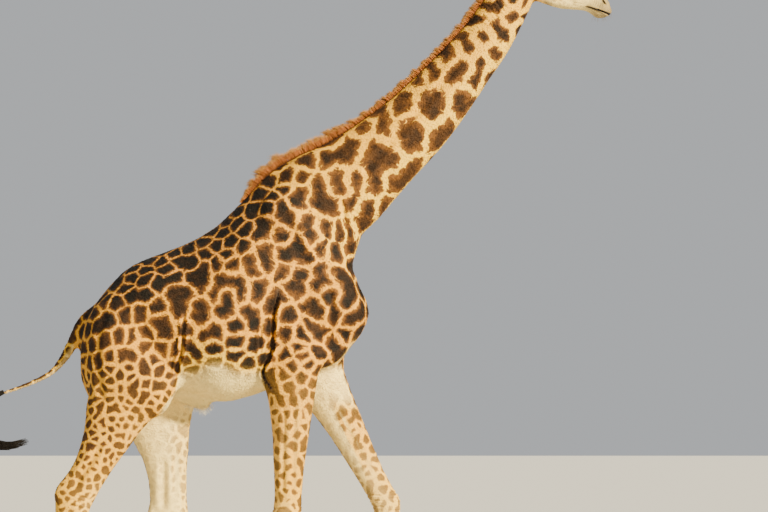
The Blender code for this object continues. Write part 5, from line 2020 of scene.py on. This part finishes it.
def make_mane():
    count = int(MANE_LOCKS * max(QUICK_SHARE, 0.5))
    steps = path_steps(mane_rims)
    spot = np.sort(rng.random(count)) * steps[-1]
    across = rng.uniform(-1, 1, count)
    x, z = (np.interp(spot, steps, mane_rims[:, i]) for i in range(2))
    up_x, up_z = (np.interp(spot, steps, mane_ups[:, i]) for i in range(2))
    crest = np.interp(spot, steps, mane_heights)
    # neighbours clump, each clump with a length and a lean of its own
    clumps = rng.random(int(steps[-1] / CLUMP_GAP) + 2)
    clump = clumps[(spot / CLUMP_GAP + 0.6 * across + 0.5 * rng.random(count)).astype(int)]
    length = crest * (0.52 + 0.40 * clump + 0.18 * rng.random(count) ** 2)
    length = length * np.sqrt(1 - 0.5 * across**2)
    up = np.stack([up_x, np.zeros(count), up_z], axis=1)
    back = np.stack([-up_z, np.zeros(count), up_x], axis=1)
    side = np.array((0.0, 1.0, 0.0))
    root = np.stack([x, across * MANE_HALF, z], axis=1) - up * MANE_SUNK
    lean = 0.18 + 0.46 * (clump - 0.5) + rng.normal(0, 0.13, count)
    share = (np.arange(5) / 4)[None, :, None]
    long = (length + MANE_SUNK)[:, None, None] * share
    lines = root[:, None, :] + up[:, None, :] * long
    lines = lines + back[:, None, :] * long * (lean[:, None, None] * share**1.3)
    spread = across * 0.16 + 0.25 * (clump - 0.5) * across + rng.normal(0, 0.06, count)
    lines = lines + side * long * (spread[:, None, None] * (1 - share * 0.5))
    low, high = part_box("mane")
    lines[..., 1] = np.clip(lines[..., 1], low.y - 0.004, high.y + 0.004)
    width = 0.0022 * (0.6 + 0.6 * rng.random(count))
    uv_roots = np.stack([0.02 + 0.96 * spot / steps[-1], 0.5 + 0.4 * across], axis=1)
    mane = hair_mesh("mane_hair", lines, taper(5, count, width), uv_roots)
    colours = srgb(66, 30, 10), srgb(168, 98, 36), srgb(232, 176, 88)
    mane.data.materials.append(hair_material("mane_hair", *colours, 0.65))
    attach(mane, "root")
    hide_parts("mane")
    print("mane has", count, "locks")


make_mane()

# %% [markdown]
# ## The tail's brush
#
# Black hairs half a metre long hang from the tail's end and swing forward with the step. Each hair
# follows the brush's middle line at an offset of its own, starts somewhere along the tail's last
# hand's breadth, and ends where it likes, so that the brush thins out into wisps.

# %% The tail's brush
BRUSH = (
    (-1.578, 0, 1.7535, 0.011), (-1.604, 0, 1.7416, 0.012), (-1.626, 0, 1.7345, 0.016),
    (-1.670, 0, 1.704, 0.027), (-1.712, 0, 1.630, 0.036), (-1.712, 0, 1.545, 0.036),
    (-1.652, 0, 1.478, 0.032), (-1.555, 0, 1.458, 0.030), (-1.440, 0, 1.483, 0.030),
)
BRUSH_HAIRS = 1500
BRUSH_WISPS = 13


def make_brush():
    path = smooth_path(BRUSH, 6)
    steps = path_steps(path[:, :3])
    ahead = unit(np.gradient(path[:, :3], axis=0))
    side = np.array((0.0, 1.0, 0.0))
    up = np.cross(side, ahead)
    count = int(BRUSH_HAIRS * max(QUICK_SHARE, 0.5))
    rings = 10
    # hairs gather in wisps, and each wisp ends at its own length
    wisp = rng.integers(0, BRUSH_WISPS, count)
    wisp_end = steps[-1] - rng.uniform(0.0, 0.30, BRUSH_WISPS) ** 1.2
    wisp_end[:4] = steps[-1] - (0.002, 0.012, 0.035, 0.060)
    start = rng.random(count) ** 1.5 * 0.17
    end = wisp_end[wisp] - 0.05 * rng.random(count) ** 2
    end = np.minimum(end, start + rng.uniform(0.36, 0.75, count))
    where = start[:, None] + (end - start)[:, None] * np.linspace(0, 1, rings)
    lines = np.stack([np.interp(where, steps, path[:, i]) for i in range(3)], axis=-1)
    ups = np.stack([np.interp(where, steps, up[:, i]) for i in range(3)], axis=-1)
    room = np.interp(where, steps, path[:, 3])
    turn = 2 * math.pi * (wisp + rng.normal(0, 0.25, count)) / BRUSH_WISPS * 0.618 * 8
    reach = 0.30 + 0.62 * (wisp % 5) / 4
    own_turn, own_reach = rng.uniform(0, 2 * math.pi, count), 0.6 * np.sqrt(rng.random(count))
    gather = 1 - np.linspace(0, 1, rings)[None, :] ** 1.5
    sway = 0.22 * np.sin(where * 14 + turn[:, None] * 3) * (where - start[:, None]) * 4
    height = (reach * np.sin(turn))[:, None] + sway * 0.3
    height = height + gather * (own_reach * np.sin(own_turn))[:, None]
    wide = (reach * np.cos(turn))[:, None] + sway * 0.2
    wide = wide + gather * (own_reach * np.cos(own_turn))[:, None]
    scale = room / np.maximum(1.0, np.hypot(height, wide))
    lines = lines + ups * (height * scale)[..., None] + side * (wide * scale * 0.82)[..., None]
    uv_roots = np.stack([0.03 + 0.9 * start / 0.2, 0.03 + 0.94 * turn / (2 * math.pi)], axis=1)
    width = 0.0021 * (0.6 + 0.6 * rng.random(count))
    brush = hair_mesh("tail_hair", lines, taper(rings, count, width), uv_roots)
    colours = srgb(14, 10, 8), srgb(10, 8, 7), srgb(22, 16, 12)
    brush.data.materials.append(hair_material("tail_hair", *colours, 0.6, 0.10))
    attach(brush, "root")
    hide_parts("tail_brush")
    print("brush has", count, "hairs")


make_brush()

# %% [markdown]
# ## Ossicones
#
# A giraffe's horns are bone under skin, furred like the head. An old bull's are thick, with a knob
# worn bald by sparring and a ring of black hair under it. Each is drawn out of a circle, ring by
# ring, and smoothed with subdivision.

# %% Ossicones
OSSICONE_LENGTH = 0.195
OSSICONE_RINGS = (
    (-0.18, 0.0285), (-0.06, 0.0280), (0.04, 0.0262), (0.16, 0.0232), (0.30, 0.0207),
    (0.45, 0.0191), (0.58, 0.0186), (0.70, 0.0192), (0.80, 0.0205), (0.88, 0.0208),
    (0.94, 0.0186), (0.975, 0.0140), (0.995, 0.0070),
)


def ossicone_frame(side):
    axis = head_direction(-0.22, 0.96, 0.12 * side)
    ahead = unit(ALONG - axis * (ALONG @ axis))
    return head_point(0.122, 0.062, 0.044 * side), axis, ahead, np.cross(axis, ahead)


def make_ossicone(side, name):
    root, axis, ahead, across = ossicone_frame(side)
    bm = bmesh.new()
    ring = bmesh.ops.create_circle(bm, segments=20, radius=1.0)["verts"]
    edges = bm.edges[:]
    unevenness = rng.uniform(0, 6, 3)
    for i, (share, radius) in enumerate(OSSICONE_RINGS):
        if i:
            drawn = bmesh.ops.extrude_edge_only(bm, edges=edges)["geom"]
            ring = [item for item in drawn if isinstance(item, bmesh.types.BMVert)]
            edges = [item for item in drawn if isinstance(item, bmesh.types.BMEdge)]
        for vertex in ring:
            turn = math.atan2(vertex.co.y, vertex.co.x)
            if i:
                out = vertex.co - middle
                turn = math.atan2(out @ Vector(across), out @ Vector(ahead))
            knob = 0.0012 * math.sin(2 * turn + unevenness[0] + share * 3)
            knob = knob + 0.0007 * math.sin(5 * turn + unevenness[1])
            size = radius + knob * min(1, max(0.2, share * 1.3))
            place = root + axis * (OSSICONE_LENGTH * share)
            vertex.co = Vector(place + ahead * math.cos(turn) * size + across * math.sin(turn) * size)
        middle = Vector(root + axis * (OSSICONE_LENGTH * share))
    bmesh.ops.contextual_create(bm, geom=edges)
    rim = [edge for edge in bm.edges if edge.is_boundary]
    bmesh.ops.contextual_create(bm, geom=rim)
    bmesh.ops.recalc_face_normals(bm, faces=bm.faces)
    horn = with_modifier(object_from(bm, name), "SUBSURF", levels=2, render_levels=2)
    horn.data.shade_smooth()
    return horn


def make_ossicone_material():
    """Furred skin below, bald horny skin on the knob, with cracks and rubbed high places."""
    nodes = Finish("ossicone_skin", 0.7, specular=0.35)
    share = nodes.value_of("share")
    place = nodes.place()
    broad, fine = nodes.noise(place, 60.0, 4.0), nodes.noise(place, 420.0, 3.0)
    fur = nodes.mix(nodes.ramp(broad, 0.35, 0.65), srgb(120, 78, 38), srgb(176, 130, 74))
    fur = nodes.mix(nodes.ramp(share, 0.50, 0.72), fur, srgb(34, 24, 19))
    bald = nodes.mix(nodes.ramp(broad, 0.40, 0.62), srgb(52, 43, 38), srgb(98, 84, 72))
    bald = nodes.mix(nodes.ramp(fine, 0.52, 0.60), bald, srgb(38, 31, 28))
    worn = nodes.ramp(nodes.plus(share, nodes.times(broad, 0.06)), 0.905, 0.945)
    colour = nodes.mix(worn, fur, bald)
    nodes.feed("Base Color", colour)
    rough = nodes.minus(0.78, nodes.times(nodes.ramp(share, 0.88, 0.95), 0.26))
    nodes.feed("Roughness", rough)
    height = nodes.plus(nodes.times(broad, 1.6), fine)
    nodes.bump(height, 0.6, 0.0014)
    return nodes.material


ossicone_material = make_ossicone_material()
ossicones = []
for side, letter in SIDES:
    horn = make_ossicone(side, f"ossicone_bone_{letter}")
    root, axis, _, _ = ossicone_frame(side)
    share = (get_points(horn.data) - root) @ axis / OSSICONE_LENGTH
    put_attribute(horn.data, "share", "FLOAT", "POINT", share)
    horn.data.materials.append(ossicone_material)
    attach(horn, "root")
    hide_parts(f"ossicone_{letter}")
    ossicones.append(horn)
print("ossicones of", len(ossicones[0].data.polygons), "faces each")

# %% [markdown]
# ## Eyes
#
# The eye is a ball with a clearer, steeper bulge over its iris. A giraffe's is nearly black, with
# a dark brown iris and a pupil that lies level. The ball is a sphere with its pole turned outwards,
# so that the rings of the mesh run round the iris; the bulge is a push along that pole. Iris and
# pupil are painted by how far a place lies from the pole, held in two attributes.

# %% Eyes
BALL_RADIUS = EYE_RADIUS * 0.93
IRIS_REACH, CORNEA_RISE = 0.70, 0.055


def eye_ways(side):
    """The way an eye looks, and the level and upright ways of its pupil."""
    out = head_direction(0.30, 0.04, 0.95 * side)
    level = unit(ALONG - out * (ALONG @ out))
    return out, level, np.cross(out, level)


def make_eye(side, letter):
    middle = eye_point(side)
    out, level, upright = eye_ways(side)
    turn = Matrix((level, upright, out)).transposed().to_4x4()
    bm = bmesh.new()
    bmesh.ops.create_uvsphere(bm, u_segments=56, v_segments=40, radius=BALL_RADIUS, matrix=turn)
    for vertex in bm.verts:
        height = vertex.co.dot(Vector(out)) / BALL_RADIUS
        vertex.co *= 1 + CORNEA_RISE * float(ramp(np.float64(height), 0.70, 0.95))
    bmesh.ops.translate(bm, verts=bm.verts, vec=Vector(middle))
    bmesh.ops.recalc_face_normals(bm, faces=bm.faces)
    ball = object_from(bm, f"eyeball_{letter}")
    away = (get_points(ball.data) - middle) / EYE_RADIUS
    for name, way in (("level", level), ("upright", upright), ("out", out)):
        put_attribute(ball.data, name, "FLOAT", "POINT", away @ way)
    ball.data.shade_smooth()
    return ball


def make_eye_material():
    nodes = Finish("wet_eye", 0.16, specular=0.5, Coat_Weight=1.0, Coat_Roughness=0.03)
    level, upright, out = (nodes.value_of(name) for name in ("level", "upright", "out"))
    far = nodes.hypotenuse(level, upright)
    angle = nodes.math("ARCTAN2", upright, level)
    spoke = {"X": nodes.times(angle, 6.0), "Y": nodes.times(far, 1.4)}
    spoke = nodes.add("ShaderNodeCombineXYZ", spoke)
    rays = nodes.noise(spoke.outputs[0], 3.0, 4.0)
    iris = nodes.mix(nodes.ramp(rays, 0.30, 0.70), srgb(30, 17, 10), srgb(88, 52, 28))
    iris = nodes.mix(nodes.ramp(far, 0.46, IRIS_REACH), iris, srgb(17, 11, 9))
    pupil = nodes.hypotenuse(nodes.math("DIVIDE", level, 0.36), nodes.math("DIVIDE", upright, 0.20))
    iris = nodes.mix(nodes.ramp(pupil, 1.15, 0.92), iris, (0.0015, 0.0015, 0.002))
    brown = srgb(46, 32, 26)
    white = nodes.mix(nodes.noise(nodes.place(), 300.0), brown, srgb(74, 54, 44))
    colour = nodes.mix(nodes.ramp(far, IRIS_REACH, IRIS_REACH + 0.10), iris, white)
    colour = nodes.mix(nodes.ramp(out, 0.05, -0.10), colour, brown)
    nodes.feed("Base Color", colour)
    return nodes.material


eye_material = make_eye_material()
for side, letter in SIDES:
    ball = make_eye(side, letter)
    ball.data.materials.append(eye_material)
    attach(ball, "root")
    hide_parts(f"eye_{letter}")
print("eyes of radius", round(BALL_RADIUS, 4))

# %% [markdown]
# ## Hooves
#
# Each foot stands on two claws of horn. Their walls grow down from the hairline and show rings,
# with fine grooves running down them, and the ground wears their lower rims round. The solids
# have the right outline, so a copy of each is melted and smoothed like the skin; then the rings are
# raised in the clay itself, by how far a place lies below the claw's top.

# %% Hooves
HOOF_GRAIN, HOOF_TRIANGLES = 0.0028, 9000
RING_GAP, RING_RISE = 0.0105, 0.0005


def make_hoof(node):
    hoof = object_from(merged_copy(node), f"horn_{node}")
    with_modifier(hoof, "REMESH", mode="VOXEL", voxel_size=HOOF_GRAIN, adaptivity=0.0)
    low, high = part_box(node)
    with_modifier(hoof, "SMOOTH", factor=0.5, iterations=44)
    after = get_points(hoof.data)
    # smoothing drew the claws in, so they are stretched back to their solid's box
    lower, upper = np.array(low), np.array(high)
    shrunk_low, shrunk_high = after.min(0), after.max(0)
    after = lower + (after - shrunk_low) / (shrunk_high - shrunk_low) * (upper - lower)
    set_points(hoof.data, after)
    normals = get_normals(hoof.data)
    # the sole stays flat, and the walls get back what smoothing took
    upright = np.clip(1 - np.abs(normals[:, 2]) * 1.1, 0, 1)
    height = after[:, 2] - low.z
    down = (high.z - low.z - height) / RING_GAP
    wobble = 0.35 * np.sin(after[:, 0] * 37 + after[:, 1] * 21) + 0.2 * np.sin(after[:, 1] * 90)
    rings = np.sin((down + wobble) * 2 * math.pi) * 0.5
    rings = rings + np.sin((down * 0.37 + wobble) * 2 * math.pi) * 0.5
    after += normals * (rings * RING_RISE * upright * ramp(height, 0.006, 0.020))[:, None]
    after = np.clip(after, lower + 1e-5, upper - 1e-5)
    set_points(hoof.data, after)
    with_modifier(hoof, "DECIMATE", ratio=min(1, HOOF_TRIANGLES / triangle_count(hoof)))
    hoof.data.shade_smooth()
    return hoof


def make_horn_material():
    nodes = Finish("hoof_horn", 0.5, specular=0.4)
    place = nodes.place()
    upward = nodes.add("ShaderNodeMapping", {"Vector": place, "Scale": (1.0, 1.0, 0.12)})
    grooves = nodes.noise(upward.outputs[0], 330.0, 3.0)
    level = nodes.add("ShaderNodeMapping", {"Vector": place, "Scale": (0.22, 0.22, 1.0)})
    band = nodes.noise(level.outputs[0], 120.0, 2.0)
    stain = nodes.noise(place, 24.0, 4.0)
    colour = nodes.mix(nodes.ramp(band, 0.30, 0.70), srgb(64, 50, 40), srgb(88, 71, 56))
    colour = nodes.mix(nodes.times(nodes.ramp(grooves, 0.45, 0.70), 0.45), colour, srgb(44, 34, 28))
    colour = nodes.mix(nodes.times(nodes.ramp(stain, 0.50, 0.75), 0.35), colour, srgb(116, 98, 78))
    above_floor = nodes.add("ShaderNodeSeparateXYZ", {"Vector": place}).outputs["Z"]
    dusty = nodes.times(nodes.ramp(above_floor, 0.030, 0.002), 0.6)
    colour = nodes.mix(dusty, colour, srgb(150, 134, 112))
    nodes.feed("Base Color", colour)
    rough = nodes.plus(0.42, nodes.times(stain, 0.35))
    nodes.feed("Roughness", rough)
    height = nodes.plus(grooves, nodes.times(band, 0.8))
    nodes.bump(height, 0.55, 0.0010)
    return nodes.material


horn_material = make_horn_material()
hoof_nodes = [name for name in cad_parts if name.startswith("hoof_")]
for node in sorted(hoof_nodes):
    hoof = make_hoof(node)
    hoof.data.materials.append(horn_material)
    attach(hoof, "root")
    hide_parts(node)
print("hooves:", len(hoof_nodes))

# %% [markdown]
# ## Lashes, whiskers and fringes
#
# The last hairs are few, but a head looks dead without them: long dark lashes that curve down over
# the eye, stiff whiskers on the lips, pale hair inside the ears, and a black ring of hair under
# the worn top of each ossicone. Hair also hangs over the hairline of each hoof and at the sheath.
# All are made by one function, which sweeps hairs from roots along ways that bend as they grow.

# %% Lashes, whiskers and fringes
BOX_MARGIN = 0.001
LOW_CORNER, HIGH_CORNER = np.array(solid_box[0]) + BOX_MARGIN, np.array(solid_box[1]) - BOX_MARGIN
DOWN = np.array((0.0, 0.0, -1.0))
HAIR_SUNK = 0.0015


def fringe(name, roots, normals, ways, bend, size, colours, rings=4, spread=0.15):
    """Hairs from roots. size is the length and half width; bend is added towards the tip."""
    count, (length, width) = len(roots), size
    share = np.linspace(0, 1, rings)[None, :, None]
    long = (length * rng.uniform(0.65, 1.15, count))[:, None, None]
    way = unit(ways + rng.normal(0, spread, (count, 3)))[:, None, :]
    lines = (roots - normals * HAIR_SUNK)[:, None, :] + way * long * share
    lines = lines + np.broadcast_to(bend, (count, 3))[:, None, :] * long * share**2
    lines = np.clip(lines, LOW_CORNER, HIGH_CORNER)
    widths = width * rng.uniform(0.7, 1.2, count)
    piece = hair_mesh(name, lines, taper(rings, count, widths), unwrap(roots, normals))
    piece.data.materials.append(hair_material(name, *colours, 0.55))
    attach(piece, "root")
    print(name, "has", count, "hairs")


DARK_HAIR = srgb(38, 27, 20), srgb(26, 19, 15), srgb(48, 34, 24)
PALE_HAIR = srgb(214, 190, 150), srgb(240, 222, 184), srgb(250, 238, 208)
TAN_HAIR = srgb(150, 104, 54), srgb(196, 148, 88), srgb(226, 186, 126)
HORN_HAIR = srgb(110, 70, 34), srgb(146, 98, 52), srgb(188, 140, 84)
WHISKER_HAIR = srgb(70, 54, 42), srgb(92, 74, 58), srgb(150, 128, 100)


def make_lashes(side, letter):
    middle, out, ahead, above = eye_frame(side)
    roots, ways, lengths = [], [], []
    for count, sign, length in ((90, 1, 0.026), (34, -1, 0.011)):
        long = rng.uniform(-0.94, 0.94, count) * ALMOND_LONG
        arch = almond_arch(np.abs(long) / ALMOND_LONG)
        high = sign * (ALMOND_UP if sign > 0 else ALMOND_DOWN) * arch + 0.035 * sign
        long, high = long[:, None], (high + rng.normal(0, 0.010, count))[:, None]
        way = out * np.cos(long) * np.cos(high) + ahead * np.sin(long) * np.cos(high)
        way = way + above * np.sin(high)
        roots.append(middle + way * (EYE_RADIUS + LID * 0.9))
        ways.append(unit(way + 0.25 * sign * above + 0.20 * out))
        lengths.append(np.full(count, length))
    roots, ways, lengths = np.concatenate(roots), np.concatenate(ways), np.concatenate(lengths)
    outward, size = unit(roots - middle), (lengths, 0.00042)
    fringe(
        f"lashes_{letter}", roots, outward, ways, -0.55 * above, size, DARK_HAIR,
        rings=6, spread=0.07,
    )


def make_ear_hair(side, letter, spots, normals):
    """Pale hair that grows from the hollow of the ear over its opening, longest near the root."""
    root, axis, facing, across = ear_frame(side)
    share = on_ear(spots)
    mine = (share > 0.10) & (share < 0.93) & (spots[:, 1] * side > 0) & (normals @ facing > 0.15)
    mine = np.flatnonzero(mine)[:900]
    spots, normals, share = spots[mine], normals[mine], share[mine]
    beside = ((spots - root) @ across)[:, None]
    ways = axis * 0.9 + facing * 0.35 + normals * 0.45
    ways = ways - 0.5 * (np.abs(beside) / 0.045) * unit(across * np.sign(beside))
    size = 0.030 - 0.018 * share, 0.00060
    fringe(
        f"ear_hair_{letter}", spots, normals, ways, facing * 0.1, size, PALE_HAIR, spread=0.20
    )


def make_ossicone_hair(side, letter, horn):
    """Short hair up the bone, and a ring of longer black hair under the knob."""
    root, axis, _, _ = ossicone_frame(side)
    whole = horn.copy()
    whole.data = horn.data.copy()
    link(whole)
    with_modifier(whole, "TRIANGULATE")
    in_order(whole)
    spots, normals = scatter(whole.data, 6_000)
    bpy.data.objects.remove(whole)
    share = (spots - root) @ axis / OSSICONE_LENGTH
    short = np.flatnonzero((share > -0.02) & (share < 0.66))[:1700]
    ring = np.flatnonzero((share > 0.60) & (share < 0.90))[:1300]
    fringe(
        f"ossicone_fur_{letter}", spots[short], normals[short], axis + normals[short] * 0.12,
        axis * 0.05, (0.012, 0.0010), HORN_HAIR, rings=3, spread=0.10,
    )
    long = 0.017 * (1.08 - ramp(share[ring], 0.78, 0.92) * 0.45)
    fringe(
        f"ossicone_ring_{letter}", spots[ring], normals[ring], axis + normals[ring] * 0.30,
        axis * 0.12, (long, 0.0008), DARK_HAIR, rings=4, spread=0.12,
    )


# %% Hairs on the head, hooves and sheath
spots, normals = scatter(skin.data, 700_000)
for side, letter in SIDES:
    make_lashes(side, letter)
    make_ear_hair(side, letter, spots, normals)
    make_ossicone_hair(side, letter, ossicones[(side + 1) // 2])

place = to_head(spots)
lips = np.flatnonzero((place[:, 0] > 0.585) & (place[:, 1] < -0.012) & (head_share(spots) > 0.9))[:110]
fringe(
    "whiskers", spots[lips], normals[lips], normals[lips] + 0.3 * ALONG, 0.35 * DOWN - 0.1 * ALONG,
    (0.030, 0.00030), WHISKER_HAIR, rings=5,
)

hem = []
for node in sorted(hoof_nodes):
    low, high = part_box(node)
    low, high = np.array(low) - 0.03, np.array(high) + (0.03, 0.03, 0.020)
    over = (spots[:, :2] > low[:2]).all(axis=1) & (spots < high).all(axis=1)
    over &= np.abs(normals[:, 2]) < 0.9
    hem.append(np.flatnonzero(over)[:650])
hem = np.concatenate(hem)
fringe(
    "coronet_fringe", spots[hem], normals[hem], DOWN + normals[hem] * 0.35, normals[hem] * 0.05,
    (0.020, 0.0010), TAN_HAIR, rings=3, spread=0.12,
)

tip = (spots[:, 2] < 1.700) & (spots[:, 2] > 1.60) & (np.abs(spots[:, 1]) < 0.06)
tip &= (spots[:, 0] > -0.66) & (spots[:, 0] < -0.38)
tip = np.flatnonzero(tip)[:260]
fringe(
    "sheath_tuft", spots[tip], normals[tip], DOWN + np.array((0.45, 0.0, 0.0)), 0.25 * DOWN,
    (0.034, 0.0007), PALE_HAIR, spread=0.22,
)

# %% [markdown]
# ## The skin in place of the solids
#
# The skin takes the place of all the solids that it was melted from.

# %% The skin in place of the solids
skin.name = "skin"
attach(skin, "root")
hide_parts(*FLESH_NODES, *EAR_NODES)
